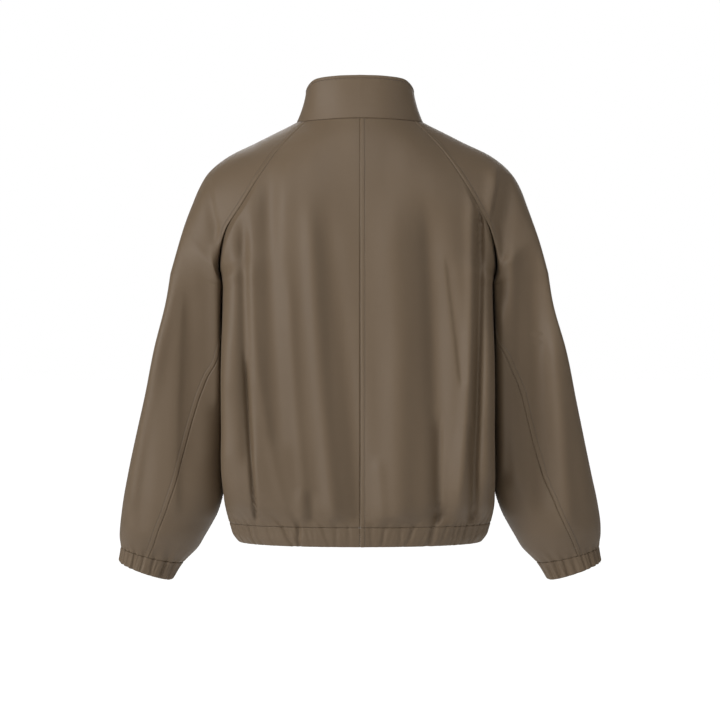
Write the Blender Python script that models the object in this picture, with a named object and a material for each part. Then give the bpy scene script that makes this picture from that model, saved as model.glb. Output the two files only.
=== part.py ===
"""A bomber jacket, filled out as when it is worn and seen with its front towards -Y.

Metres, +Z up, +X on the wearer's left. The origin is the middle of the neck, at the height of
the seam that joins the collar to the centre back. Tables and sizes below are in millimetres.

Every cut piece of cloth is a thin wall on a smooth form. The form of the body runs from the
lower edge of the hem band (level 0) past the underarm (level 1) to the neck seam (level 2). The
form of a sleeve runs from the lower edge of the cuff (level 0) past the underarm (level 1), and
its raglan cap ends at the same neck seam (level 2). Folds move the cloth straight back or
forward, and gathers move it along the normal of its form.
"""

import math
from collections import namedtuple

import bmesh
import bpy
import numpy as np

MM = 0.001
BACK, FRONT = 1, -1
LEFT, RIGHT = 1, -1
HANDS = ((LEFT, "left"), (RIGHT, "right"))

# Heights and thicknesses
BAND_BOTTOM = -629
HEM_SEAM = -594
UNDERARM = -245
CUFF_BOTTOM = -657.6
CUFF_SEAM = -636.6
ARM_TOP = -228
CLOTH = 1.5
COLLAR_CLOTH = 2.5
SEAM_GAP = 0.36
ARMHOLE_GAP = 0.7
FRONT_EDGE = 4.5

# How full each form is, as the reach of its curves' handles
YOKE_FULLNESS = 0.38
CUFF_SAG, CUFF_SAG_REACH = 3.5, 0.25
BOX_SPREAD, BOX_POWER = 0.5, 0.34

# Where, as shares of the rise from the underarm to the neck, the body's and the sleeve's rings turn
# from standing side by side to lying over the shoulder as one surface
Armhole = namedtuple("Armhole", "start body_end seam_end shoulder_end puff puff_end")
ARMHOLE = Armhole(0, 0.46, 0.44, 0.85, 4, 0.25)

# The torso's rings, from the hem band's lower edge to the underarm
Ring = namedtuple("Ring", "z half_width back front side_y fullness")
TORSO = (
    Ring(-629, 181, 112, -104, 10, 0.60),
    Ring(-618, 189.5, 116, -108, 10, 0.61),
    Ring(-606, 193.5, 118, -110, 11, 0.62),
    Ring(-594, 197, 120, -112, 12, 0.66),
    Ring(-582, 200, 123, -115, 14, 0.74),
    Ring(-570, 202, 125, -117, 15, 0.84),
    Ring(-550, 203.5, 126, -118, 16, 0.96),
    Ring(-450, 204, 127, -120, 18, 1.08),
    Ring(-340, 203.5, 126, -121, 12, 1.08),
    Ring(-290, 203, 126, -122, 5, 1.02),
    Ring(-245, 203, 126, -123, -5, 0.98),
)

# Guide lines of the yoke, each from the underarm level up to the neck seam
Point = namedtuple("Point", "x y z")
UNDERARM_POINT = Point(203, -5, -245)
CENTRE_BACK = (
    Point(0, 126, -245),
    Point(0, 125, -200),
    Point(0, 118.5, -130),
    Point(0, 104, -60),
    Point(0, 91, -25),
    Point(0, 76, 0),
)
CENTRE_FRONT = (
    Point(0, -123, -245),
    Point(0, -122, -200),
    Point(0, -112, -120),
    Point(0, -97, -66),
    Point(0, -84, -40),
)
RAGLAN_BACK = (
    UNDERARM_POINT,
    Point(208, 52, -214),
    Point(197, 82, -165),
    Point(172, 91, -125),
    Point(147, 84, -84),
    Point(121, 66, -46),
    Point(80, 43, -2),
)
RAGLAN_FRONT = (
    UNDERARM_POINT,
    Point(206, -46, -226),
    Point(199, -79, -188),
    Point(175, -96, -148),
    Point(144, -92, -107),
    Point(108, -76, -63),
    Point(72, -55, -22),
)
SHOULDER = (
    Point(280, -5, -228),
    Point(265, -4, -174.6),
    Point(250, -3, -126.6),
    Point(241, -3, -102.6),
    Point(227, -2, -78.6),
    Point(215, -1, -66.6),
    Point(199, 0, -54.6),
    Point(152, 0, -30.6),
    Point(104, 0, -6.6),
    Point(95, 0, -2),
)

# The sleeve's rings, from the cuff's lower edge to the underarm
Section = namedtuple("Section", "outer_z outer_x outer_y inner_x inner_y inner_z back front boxy")
SLEEVE = (
    Section(-657.6, 362.5, -22, 280, -29, -685, 36, 34, 0),
    Section(-636.6, 359.5, -21, 261, -29, -659, 41, 37, 0),
    Section(-622, 360.5, -20, 242, -28, -641, 54, 48, 0.05),
    Section(-606, 359.5, -18, 230, -26, -624, 64, 58, 0.1),
    Section(-583, 357, -15, 217, -23, -603, 69, 61, 0.15),
    Section(-558, 353, -12, 209, -20, -586, 72, 62, 0.25),
    Section(-487, 336.8, -5, 205.5, -14, -517, 75, 64, 0.5),
    Section(-415, 320.6, 0, 205, -8, -442, 78, 68, 0.8),
    Section(-343, 303.8, 3, 205, -4, -366, 80, 70, 1),
    Section(-270, 285.8, -1, 205, -3, -290, 79, 74, 1),
    Section(-228, 280, -5, 203, -5, -245, 81, 80, 0.9),
)

# Where the sleeve's back seam runs, as a share of the way round from the underarm
BackSeam = namedtuple("BackSeam", "outer_z around")
SLEEVE_SEAM = (
    BackSeam(-657.6, 0.27),
    BackSeam(-620, 0.285),
    BackSeam(-550, 0.273),
    BackSeam(-465, 0.234),
    BackSeam(-425, 0.214),
    BackSeam(-385, 0.188),
    BackSeam(-355, 0.162),
    BackSeam(-325, 0.116),
    BackSeam(-300, 0.06),
    BackSeam(-262, 0.02),
    BackSeam(-228, 0.0),
)

# The collar's top edge, from the centre back to the centre front
COLLAR_TOP = (
    Point(0, 69, 64),
    Point(36, 65, 63),
    Point(66, 50, 59.5),
    Point(78, 20, 51),
    Point(80, 0, 45),
    Point(76, -25, 37.5),
    Point(60, -49, 30),
    Point(32, -66, 24),
    Point(0, -72, 22),
)
COLLAR_WAIST = -2.5

# How far the right armhole hangs nearer the middle than the left one, and over what stretch
Lopsided = namedtuple("Lopsided", "shift middle reach foot top")
LOPSIDED = Lopsided(6, 203, 45, -600, -90)

# Folds: a ridge (depth over 0) or a trough (under 0) that runs from its top to its foot. A lean
# makes one side of it steep: the side towards +x where it is over 0. The foot's share is how deep
# it is towards its foot, against its depth towards its top
Fold = namedtuple("Fold", "top_x top_z foot_x foot_z bow width depth lean foot_share", defaults=(1,))
BACK_FOLDS = (
    Fold(207, -150, 205, -560, 0, 10, 12, 0, 0.6),
    Fold(199, -125, 196, -540, 0, 20, 17, 0, 0.4),
    Fold(190, -60, 185, -420, 0, 55, 7, 0, 0.6),
    Fold(170, -130, 163, -520, 0, 8, -5.5, 0, 0.7),
    Fold(160, -125, 106, -585, 17, 8, 2.5, 0, 0.6),
    Fold(132, -62, 115, -500, 6, 18, -12, 0, 0.4),
    Fold(104, -200, 74, -620, 4, 8, 2, 0),
    Fold(76, -90, 36, -620, 3, 13, 4.5, 0, 1.4),
    Fold(54, -100, -4, -620, -4, 18, -3.5, 0, 2),
    Fold(-46, -90, -58, -620, -2, 25, 9.5, 0),
    Fold(-97, -100, -117, -640, -4, 18, -10, 0.15),
    Fold(-165, -60, -140, -590, -12, 12, 6.5, 0),
    Fold(-181, -30, -165, -640, -3, 7.5, -12, 0),
    Fold(-193, -90, -190, -600, 0, 9, 5, 0, 0.5),
    Fold(-205, -150, -204, -560, 0, 12, 13, 0, 0.6),
)
FRONT_FOLDS = (
    Fold(193, -160, 189, -600, 0, 10, 7, 0),
    Fold(168, -170, 160, -580, 5, 13, -11, -0.4),
    Fold(140, -110, 128, -600, 6, 14, 6, 0),
    Fold(112, -90, 90, -590, 6, 14, -8, 0),
    Fold(74, -110, 50, -560, 4, 16, 6, 0),
    Fold(-52, -130, -38, -600, -4, 16, -6, 0),
    Fold(-84, -90, -74, -590, -6, 15, 7, 0),
    Fold(-116, -120, -106, -560, -5, 13, -8, 0),
    Fold(-148, -150, -138, -600, -4, 12, 6, 0),
    Fold(-172, -160, -164, -620, -3, 10, -11, 0.3),
    Fold(-192, -160, -188, -600, 0, 9, 5, 0),
)
SLEEVE_BACK_FOLDS = {
    LEFT: (
        Fold(228, -74, 205, -190, 2, 8, -3.5, -0.3),
        Fold(208, -190, 206, -470, 0, 7, 8, 0),
        Fold(262, -230, 275, -600, 2, 12, 3.5, -0.3),
        Fold(265, -200, 350, -600, 0, 10, 4.5, 0),
        Fold(250, -240, 246, -520, 0, 11, -2.5, 0),
        Fold(306, -360, 330, -630, 0, 10, -4, 0),
    ),
    RIGHT: (
        Fold(203, -60, 187, -200, 0, 8, 6.5, 0.5),
        Fold(222, -66, 208, -215, 2, 12, -7, 0),
        Fold(212, -250, 214, -540, 0, 9, 10, 0),
        Fold(230, -165, 234, -560, -8, 11, 9, 0, 0.7),
        Fold(257, -170, 270, -600, 0, 16, -9, 0),
        Fold(282, -290, 312, -620, 0, 14, 6, 0),
    ),
}
SLEEVE_FRONT_FOLDS = (
    Fold(226, -78, 204, -190, 2, 9, -4.5, 0),
    Fold(226, -170, 240, -460, 0, 12, 7, 0),
    Fold(250, -190, 278, -580, -2, 12, -7, 0),
    Fold(276, -220, 318, -620, 0, 13, 5, 0),
    Fold(240, -430, 264, -630, 4, 11, -5, 0),
)

# Gathers: creases where elastic draws the cloth in. A crease's place is its share of the way along
# the panel, its slant how far its foot lies from its head for each mm down, and its reach how far
# it runs up from the seam
Crease = namedtuple("Crease", "place slant width depth reach")
BACK_GATHERS = {
    LEFT: (
        Crease(0.04, 0, 4, 1.5, 10),
        Crease(0.095, 0.1, 5, 1.8, 14),
        Crease(0.15, -0.1, 5, 2.2, 18),
        Crease(0.21, 0.15, 5, 1.6, 12),
        Crease(0.275, 0.28, 4.5, 5.0, 26),
        Crease(0.362, -0.15, 5, 3.6, 22),
        Crease(0.46, 0.0, 6, 1.2, 20),
        Crease(0.55, 0.1, 5, 2.6, 22),
        Crease(0.65, 0.1, 6, 3.0, 26),
        Crease(0.75, -0.1, 6, 2.6, 22),
        Crease(0.85, 0.1, 6, 3.0, 26),
        Crease(0.94, 0, 6, 2.6, 20),
    ),
    RIGHT: (
        Crease(0.04, 0.05, 4, 1.2, 10),
        Crease(0.11, -0.1, 5, 2.0, 16),
        Crease(0.17, 0.15, 5, 1.8, 14),
        Crease(0.235, -0.2, 5, 2.2, 16),
        Crease(0.345, 0.08, 6, 5.0, 30),
        Crease(0.44, 0.0, 6, 1.0, 16),
        Crease(0.535, 0.2, 5, 3.0, 24),
        Crease(0.64, 0.2, 5, 3.2, 26),
        Crease(0.71, -0.15, 6, 2.4, 20),
        Crease(0.80, 0.1, 6, 2.8, 22),
        Crease(0.88, -0.1, 6, 2.6, 24),
        Crease(0.95, 0, 6, 2.4, 18),
    ),
}


# The zip
TAPE_NEAR, TAPE_FAR = 2.9, 14
TAPE_GAP, TAPE_THICKNESS = 0.5, 1.0
CHAIN_HALF_WIDTH = 2.5
CHAIN_FACE, CHAIN_BACK = -0.6, 1.6
SLIDER_RISE = 0.78
PLATE_WIDTH, PLATE_HEIGHT = 9, 12
PLATE_FACE, PLATE_SEAT = 2.5, 0.9
CROWN_WIDTH, CROWN_HALF_SPAN, CROWN_THICKNESS, CROWN_HEADROOM = 2.4, 3.2, 1.0, 3.0
TAB_WIDTH, TAB_LENGTH, TAB_THICKNESS = 8, 32, 1.4
TAB_WINDOW_WIDTH, TAB_WINDOW_LENGTH = 4.4, 5.8

Finish = namedtuple("Finish", "colour roughness metallic")
FABRIC = Finish((0.165, 0.122, 0.088), 0.55, 0.0)
TAPE = Finish((0.095, 0.075, 0.058), 0.8, 0.0)
METAL = Finish((0.32, 0.28, 0.23), 0.35, 1.0)


# Arithmetic on whole grids of points


def mix(start, end, share):
    return start + (end - start) * share


def smooth(share):
    share = np.clip(share, 0, 1)
    return share * share * (3 - 2 * share)


def unit(vectors):
    return vectors / np.linalg.norm(vectors, axis=-1, keepdims=True)


def length(vectors):
    return np.linalg.norm(vectors, axis=-1, keepdims=True)


def stacked(x, y, z):
    return np.stack(np.broadcast_arrays(x, y, z), axis=-1)


def bump(distance, width):
    """A soft hump, one high and about this wide."""
    return np.exp(-((distance / width) ** 2))


def through(rows, at):
    """The smooth curve through a table's rows: the first column is where each row stands."""
    table = np.array(rows, float)
    place, values = table[:, 0], table[:, 1:]
    steps = np.diff(place)[:, None]
    slopes = np.diff(values, axis=0) / steps
    inner = (slopes[1:] * steps[:-1] + slopes[:-1] * steps[1:]) / (steps[1:] + steps[:-1])
    tangents = np.vstack([slopes[:1], inner, slopes[-1:]])
    at = np.asarray(at, float)
    row = np.clip(np.searchsorted(place, at) - 1, 0, len(place) - 2)
    step = (place[row + 1] - place[row])[..., None]
    t = (at - place[row])[..., None] / step
    return (
        (2 * t**3 - 3 * t**2 + 1) * values[row]
        + (t**3 - 2 * t**2 + t) * step * tangents[row]
        + (3 * t**2 - 2 * t**3) * values[row + 1]
        + (t**3 - t**2) * step * tangents[row + 1]
    )


def guide(points):
    """A line's points, each with the share of the line's length at which it stands."""
    points = np.array(points, float)
    steps = np.linalg.norm(np.diff(points, axis=0), axis=1)
    shares = np.concatenate([[0], np.cumsum(steps)]) / steps.sum()
    return np.column_stack([shares, points])


def bezier(start, leave, arrive, end, share):
    t = share[..., None]
    return (
        (1 - t) ** 3 * start
        + 3 * t * (1 - t) ** 2 * leave
        + 3 * t**2 * (1 - t) * arrive
        + t**3 * end
    )


# The forms


def body_form(face, level, across):
    """Half of the body on +X: across runs from the centre line (0) to the side or raglan seam (1)."""
    level, across = np.broadcast_arrays(np.asarray(level, float), across)
    height = mix(BAND_BOTTOM, UNDERARM, np.minimum(level, 1))
    ring = through(TORSO, height)
    half_width, side_y, fullness = ring[..., 0], ring[..., 3], ring[..., 4:5]
    depth = ring[..., 1] if face == BACK else ring[..., 2]
    rise = np.maximum(level - 1, 0)
    below = (level < 1)[..., None]
    centre_line, seam_line = (CENTRE_BACK, RAGLAN_BACK) if face == BACK else (CENTRE_FRONT, RAGLAN_FRONT)
    centre = np.where(below, stacked(0, depth, height), through(guide(centre_line), rise))
    edge = np.where(below, stacked(half_width, side_y, height), through(guide(seam_line), rise))
    shoulder = through(guide(SHOULDER), rise)
    yoke = smooth((rise - ARMHOLE.start) / (ARMHOLE.body_end - ARMHOLE.start))[..., None]
    chord = length(edge - centre)
    turn = unit(edge - centre) + unit(shoulder - edge)
    tangent = unit(mix(np.array((0, -face, 0)), unit(turn), yoke))
    reach_centre = mix(fullness * edge[..., :1], YOKE_FULLNESS * chord, yoke)
    reach_edge = mix(fullness * abs(centre - edge)[..., 1:2], YOKE_FULLNESS * chord, yoke)
    leave = centre + reach_centre * np.array((1, 0, 0))
    return bezier(centre, leave, edge - reach_edge * tangent, edge, across)


def sleeve_half(face, level, share):
    """Half of a sleeve's ring: share runs from the underarm or raglan seam (0) to the shoulder line (1)."""
    outer_z = mix(CUFF_BOTTOM, ARM_TOP, np.minimum(level, 1))
    section = through(SLEEVE, outer_z)
    rise = np.maximum(level - 1, 0)
    below = (level < 1)[..., None]
    outer = stacked(section[..., 0], section[..., 1], outer_z)
    seam_line, centre_line = (RAGLAN_BACK, CENTRE_BACK) if face == BACK else (RAGLAN_FRONT, CENTRE_FRONT)
    seam = through(guide(seam_line), rise)
    centre = through(guide(centre_line), rise)
    shoulder = np.where(below, outer, through(guide(SHOULDER), rise))
    edge = np.where(below, section[..., 2:5], seam)
    depth = section[..., 5:6] if face == BACK else section[..., 6:7]
    depth = depth + ARMHOLE.puff * smooth(rise / ARMHOLE.puff_end)[..., None]
    by_seam = smooth((rise - ARMHOLE.start) / (ARMHOLE.seam_end - ARMHOLE.start))[..., None]
    by_shoulder = smooth((rise - ARMHOLE.start) / (ARMHOLE.shoulder_end - ARMHOLE.start))[..., None]
    chord = length(shoulder - edge)
    turn = unit(edge - centre) + unit(shoulder - edge)
    outwards = np.array((0, face, 0))
    tangent = unit(mix(outwards, unit(turn), by_seam))
    round_reach = depth / 0.75
    inset_reach = np.maximum(round_reach - 4 / 3 * abs(edge - shoulder)[..., 1:2], chord / 4)
    leave = edge + mix(inset_reach, YOKE_FULLNESS * chord, by_seam) * tangent
    arrive = shoulder + mix(round_reach, YOKE_FULLNESS * chord, by_shoulder) * outwards
    sag = -face * CUFF_SAG * smooth(1 - level / CUFF_SAG_REACH)
    sagged = stacked(0, 0, 4 / 3 * sag)
    points = bezier(edge, leave + sagged, arrive + sagged, shoulder, share)
    boxy = section[..., 7:8] * (1 - by_seam)
    swing = (1 - 2 * smooth(share))[..., None]
    bulge = np.clip(4 * share * (1 - share), 0, 1)[..., None]
    aside = -BOX_SPREAD / 2 * swing * (1 - swing**2)
    lift = bulge**BOX_POWER - bulge
    return points + boxy * (aside * (shoulder - edge) + lift * depth * outwards)


def sleeve_form(level, around):
    """A sleeve on +X: around runs from the underarm round the back, the shoulder line (0.5) and the front (1)."""
    level, around = np.broadcast_arrays(np.asarray(level, float), around)
    back = sleeve_half(BACK, level, 2 * around)
    front = sleeve_half(FRONT, level, 2 - 2 * around)
    points = np.where((around < 0.5)[..., None], back, front)
    return points + np.array((ARMHOLE_GAP, 0, 0))


def on_side(points, side):
    """Points made on +X, brought to their own side. The right armhole hangs a little nearer the middle."""
    x, y, z = np.moveaxis(points, -1, 0)
    hung = smooth((z - LOPSIDED.foot) / 100) * smooth((LOPSIDED.top - z) / 80)
    nearer = LOPSIDED.shift * hung * bump(x - LOPSIDED.middle, LOPSIDED.reach) if side == RIGHT else 0
    return stacked(side * (x - nearer), y, z)


def neck_line():
    """The neck seam on +X, from the centre back to the centre front."""
    share = np.linspace(0, 1, 17)
    back = body_form(BACK, 2, share)
    cap = sleeve_form(2, share)
    front = body_form(FRONT, 2, share[::-1])
    return np.vstack([back[:-1], cap[1:-1], front[1:]])


NECK_LINE = guide(neck_line())


def collar_form(rise, along):
    """Half of the collar on +X: rise 0 is the neck seam, and along runs from the back (0) to the front (1)."""
    rise, along = np.broadcast_arrays(np.asarray(rise, float), along)
    lower = through(NECK_LINE, along)
    upper = through(guide(COLLAR_TOP), along)
    outwards = unit(mix(lower, upper, 0.5) * np.array((1, 1, 0)))
    waist = COLLAR_WAIST * 4 * (rise * (1 - rise) * (1 - along**4))[..., None]
    return mix(lower, upper, rise[..., None]) + waist * outwards


# Folds and gathers


def folds_at(folds, x, z):
    """How far the folds move the cloth out at a place seen from straight behind or in front."""
    out = np.zeros(np.broadcast(x, z).shape)
    for fold in folds:
        run = (fold.top_z - z) / (fold.top_z - fold.foot_z)
        middle = mix(fold.top_x, fold.foot_x, run) + 4 * fold.bow * run * (1 - run)
        ends = smooth(run / 0.18) * smooth((1 - run) / 0.1)
        aside = (x - middle) / fold.width
        depth = fold.depth * mix(1, fold.foot_share, np.clip(run, 0, 1))
        out += depth * ends * bump(aside, 1 - fold.lean * np.tanh(3 * aside))
    return out


def creases_at(creases, place, height, seam, arc):
    """How far the gathers move the cloth: place is along a panel whose gathered seam is this long."""
    above = np.clip(height - seam, 0, None)
    out = np.zeros(np.broadcast(place, height).shape)
    for crease in creases:
        middle = crease.place + crease.slant * (seam - height) / arc
        fade = np.exp(-((above / crease.reach) ** 1.5))
        spread = crease.width * (1 + 1.5 * above / crease.reach)
        out -= crease.depth * fade * bump((place - middle) * arc, spread)
    return out


def irregular(count, seed, width, depth, reach, slant=0.15):
    """Creases along a whole seam, each a little unlike the next."""
    made = []
    for k in range(count):
        place = (k + 0.5 + 0.3 * math.sin(2.4 * k + seed)) / count
        uneven = 1 + 0.45 * math.sin(1.7 * k + 2 * seed)
        made.append(
            Crease(
                place,
                slant * math.sin(3.1 * k + seed),
                width * (1 + 0.25 * math.sin(4.3 * k + seed)),
                depth * uneven,
                reach * (1 + 0.4 * math.sin(2.9 * k + 3 * seed)),
            )
        )
    return tuple(made)


def normal(points, level, across, turn):
    step = 1e-3
    along = points(level + step, across) - points(level - step, across)
    over = points(level, across + step) - points(level, across - step)
    return turn * unit(np.cross(along, over))


HEM_ARC, SLEEVE_ARC, UNDERSLEEVE_ARC = 262, 240, 70
FRONT_GATHERS = {LEFT: irregular(9, 1.3, 5, 2.4, 20), RIGHT: irregular(9, 4.1, 5, 2.4, 20)}
SLEEVE_GATHERS = {side: irregular(11, 2.2 + side, 3.6, 2.6, 13) for side, _ in HANDS}
UNDERSLEEVE_GATHERS = {side: irregular(4, 0.7 + side, 3.6, 2.4, 13) for side, _ in HANDS}


def body_cloth(face, side):
    """The body's form with its folds and gathers, for one side of the centre line."""
    folds = BACK_FOLDS if face == BACK else FRONT_FOLDS
    gathers = (BACK_GATHERS if face == BACK else FRONT_GATHERS)[side]

    def form(level, across):
        return body_form(face, level, across)

    def cloth(level, across):
        flat = form(level, across)
        x, z = flat[..., 0], flat[..., 2]
        by_zip = smooth((across - 0.04) / 0.1) if face == FRONT else 1
        settled = smooth((z - HEM_SEAM) / 18) * smooth((1 - across) / 0.05) * by_zip
        folded = stacked(0, face * settled * folds_at(folds, side * x, z), 0)
        gathered = creases_at(gathers, across, z, HEM_SEAM, HEM_ARC) * smooth((1 - across) / 0.03) * by_zip
        return flat + folded + gathered[..., None] * normal(form, level, across, face)

    return cloth


def seam_share(level):
    """The share of the way round at which the sleeve's back seam lies."""
    outer_z = mix(CUFF_BOTTOM, ARM_TOP, np.minimum(level, 1))
    return through(SLEEVE_SEAM, outer_z)[..., 0]


def sleeve_cloth(side):
    """A sleeve's form with its folds and gathers."""

    def cloth(level, around):
        level, around = np.broadcast_arrays(np.asarray(level, float), around)
        flat = sleeve_form(level, around)
        x, z = flat[..., 0], flat[..., 2]
        from_seam = np.minimum(around, 1 - around)
        from_shoulder = abs(around - 0.5)
        settled = smooth(from_seam / 0.08) * smooth(from_shoulder / 0.06) * smooth((level - 0.07) / 0.08)
        back = folds_at(SLEEVE_BACK_FOLDS[side], x, z)
        front = folds_at(SLEEVE_FRONT_FOLDS, x, z)
        folded = stacked(0, settled * np.where(around < 0.5, back, -front), 0)
        split = seam_share(level)
        under = around < split
        outer_z = mix(CUFF_BOTTOM, ARM_TOP, np.minimum(level, 1))
        under_share = around / np.maximum(split, 1e-6)
        over_share = (around - split) / (1 - split)
        gathered = np.where(
            under,
            creases_at(UNDERSLEEVE_GATHERS[side], under_share, outer_z, CUFF_SEAM, UNDERSLEEVE_ARC),
            creases_at(SLEEVE_GATHERS[side], over_share, outer_z, CUFF_SEAM, SLEEVE_ARC),
        )
        gathered = gathered * smooth(abs(around - split) / 0.02) * smooth(from_seam / 0.02)
        return flat + folded + gathered[..., None] * normal(sleeve_form, level, around, 1)

    return cloth


# Meshes


def new_material(name, finish):
    material = bpy.data.materials.new(name)
    material.use_nodes = True
    shader = material.node_tree.nodes["Principled BSDF"]
    shader.inputs["Base Color"].default_value = (*finish.colour, 1)
    shader.inputs["Roughness"].default_value = finish.roughness
    shader.inputs["Metallic"].default_value = finish.metallic
    return material


def wall(name, outer, inner, finish, ring=False):
    """A closed wall between two grids of points. A ring's last column joins its first."""
    rows, columns = outer.shape[:2]
    bm = bmesh.new()
    grids = [
        [[bm.verts.new(point * MM) for point in row] for row in grid]
        for grid in (outer, inner)
    ]
    spans = columns if ring else columns - 1
    for grid in grids:
        for low, high in zip(grid, grid[1:]):
            for k in range(spans):
                after = (k + 1) % columns
                bm.faces.new((low[k], low[after], high[after], high[k]))
    for row in (0, rows - 1):
        for k in range(spans):
            after = (k + 1) % columns
            bm.faces.new((grids[0][row][k], grids[0][row][after], grids[1][row][after], grids[1][row][k]))
    for column in () if ring else (0, columns - 1):
        for k in range(rows - 1):
            bm.faces.new(
                (grids[0][k][column], grids[0][k + 1][column], grids[1][k + 1][column], grids[1][k][column])
            )
    bmesh.ops.recalc_face_normals(bm, faces=bm.faces)
    mesh = bpy.data.meshes.new(name)
    bm.to_mesh(mesh)
    bm.free()
    mesh.shade_smooth()
    mesh.set_sharp_from_angle(angle=math.radians(50))
    mesh.materials.append(new_material(name, finish))
    jacket.objects.link(bpy.data.objects.new(name, mesh))


def inset(points, level, across, gap):
    """The change of across that moves a point this far from a panel's edge."""
    step = 1e-3
    speed = np.linalg.norm(points(level, across + step) - points(level, across - step), axis=-1) / (2 * step)
    return gap / speed


def columns(creases, more=()):
    """Where a panel's columns stand: at its edges, in each crease and halfway to the next."""
    places = np.array([crease.place for crease in creases])
    between = (places[1:] + places[:-1]) / 2
    return np.sort(np.concatenate([[0], more, places, between, [1]]))


def panel(name, cloth, turn, side, levels, first, last, shares):
    """One cut piece: a wall on the cloth between two lines that run up it."""
    level = levels[:, None]
    across = mix(first[:, None], last[:, None], shares)
    outer = cloth(level, across)
    inner = outer - CLOTH * normal(cloth, level, across, turn)
    wall(name, on_side(outer, side), on_side(inner, side), FABRIC)


def across_at(points, levels, x, reach=0.4):
    """The value of across at which the form is this far from the centre plane, at each level."""
    low, high = np.zeros(levels.shape), np.full(levels.shape, reach)
    for _ in range(30):
        middle = (low + high) / 2
        near = points(levels, middle)[..., 0] < x
        low, high = np.where(near, middle, low), np.where(near, high, middle)
    return middle


def body_level(z):
    return (z - BAND_BOTTOM) / (UNDERARM - BAND_BOTTOM)


def sleeve_level(outer_z):
    return (outer_z - CUFF_BOTTOM) / (ARM_TOP - CUFF_BOTTOM)


CAP_LEVELS = 1 + np.array((0.04, 0.11, 0.19, 0.28, 0.37, 0.46, 0.55, 0.65, 0.76, 0.88, 1))
BODY_HEIGHTS = np.array((-584, -570, -548, -512, -472, -432, -392, -352, -315, -280, UNDERARM))
SLEEVE_HEIGHTS = np.array((-627, -614, -594, -562, -524, -486, -446, -408, -370, -334, -300, -270, -246))


HALF_GAP = SEAM_GAP / 2
BODY_LEVELS = np.concatenate([[body_level(HEM_SEAM + HALF_GAP)], body_level(BODY_HEIGHTS), CAP_LEVELS])
BAND_LEVELS = body_level(np.array((BAND_BOTTOM, -612, HEM_SEAM - HALF_GAP)))
BY_ZIP = (0.05,)


def make_body():
    for face, word, gathers in ((BACK, "back", BACK_GATHERS), (FRONT, "front", FRONT_GATHERS)):
        for side, hand in HANDS:
            cloth = body_cloth(face, side)

            def form(level, across):
                return body_form(face, level, across)

            from_centre = HALF_GAP if face == BACK else FRONT_EDGE
            shares = columns(gathers[side], () if face == BACK else BY_ZIP)
            for piece, levels in ((word, BODY_LEVELS), ("hem_band_" + word, BAND_LEVELS)):
                first = across_at(form, levels, from_centre)
                last = 1 - inset(form, levels, np.ones(levels.shape), HALF_GAP)
                panel(f"{piece}_{hand}", cloth, face, side, levels, first, last, shares)


def make_sleeve(side, hand):
    cloth = sleeve_cloth(side)
    arm_levels = sleeve_level(np.concatenate([[CUFF_SEAM + HALF_GAP], SLEEVE_HEIGHTS]))
    levels = np.concatenate([arm_levels, [1], CAP_LEVELS])
    split = np.where(levels < 1, seam_share(levels), 0)
    aside = inset(sleeve_form, levels, np.full(levels.shape, 1e-3), HALF_GAP)
    panel(f"sleeve_{hand}", cloth, 1, side, levels, split + aside, 1 - aside, columns(SLEEVE_GATHERS[side]))
    aside = inset(sleeve_form, arm_levels, seam_share(arm_levels), HALF_GAP)
    last = seam_share(arm_levels) - aside
    panel(f"undersleeve_{hand}", cloth, 1, side, arm_levels, aside, last, columns(UNDERSLEEVE_GATHERS[side]))


def make_cuff(side, hand):
    cloth = sleeve_cloth(side)
    levels = sleeve_level(np.array((CUFF_BOTTOM, (CUFF_BOTTOM + CUFF_SEAM) / 2, CUFF_SEAM - HALF_GAP)))
    split = seam_share(levels)[:, None]
    under = split * columns(UNDERSLEEVE_GATHERS[side])[:-1]
    over = split + (1 - split) * columns(SLEEVE_GATHERS[side])[:-1]
    around = np.hstack([under, over])
    outer = cloth(levels[:, None], around)
    inner = outer - CLOTH * normal(cloth, levels[:, None], around, 1)
    wall(f"cuff_{hand}", on_side(outer, side), on_side(inner, side), FABRIC, ring=True)


def front_edge(points, levels, x):
    """The value of along at which the collar is this far from the centre plane at the front."""
    low, high = np.full(levels.shape, 0.6), np.ones(levels.shape)
    for _ in range(30):
        middle = (low + high) / 2
        far = points(levels, middle)[..., 0] > x
        low, high = np.where(far, middle, low), np.where(far, high, middle)
    return middle


def make_collar():
    rises = np.array((0.012, 0.35, 0.7, 1))
    last = front_edge(collar_form, rises, FRONT_EDGE)[:, None]
    along = last * np.linspace(-1, 1, 37)
    side = np.where(along < 0, -1, 1)[..., None]
    mirror = np.concatenate([side, np.ones_like(side), np.ones_like(side)], axis=-1)
    outer = collar_form(rises[:, None], abs(along))
    inner = outer - COLLAR_CLOTH * normal(collar_form, rises[:, None], abs(along), 1)
    wall("collar", outer * mirror, inner * mirror, FABRIC)


def tape_grids(near, far):
    """The two faces of a strip behind the front edges, from the hem to the top of the collar."""
    body_rows = np.concatenate([BAND_LEVELS, BODY_LEVELS[:-1], [1.98]])
    collar_rows = np.linspace(0.04, 0.98, 4)
    thicker = mix(CLOTH, COLLAR_CLOTH, smooth((body_rows - 1.75) / 0.2))

    def form(level, across):
        return body_form(FRONT, level, across)

    faces, backs = [], []
    for rows_at, points, turn, solve, cloth in (
        (body_rows, form, FRONT, across_at, thicker),
        (collar_rows, collar_form, 1, front_edge, np.full(4, COLLAR_CLOTH)),
    ):
        level = rows_at[:, None]
        across = np.column_stack([solve(points, rows_at, x) for x in (near, (near + far) / 2, far)])
        inwards = -normal(points, level, across, turn)
        face = points(level, across) + (cloth + TAPE_GAP)[:, None, None] * inwards
        faces.append(face)
        backs.append(face + TAPE_THICKNESS * inwards)
    return np.vstack(faces), np.vstack(backs)


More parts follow.
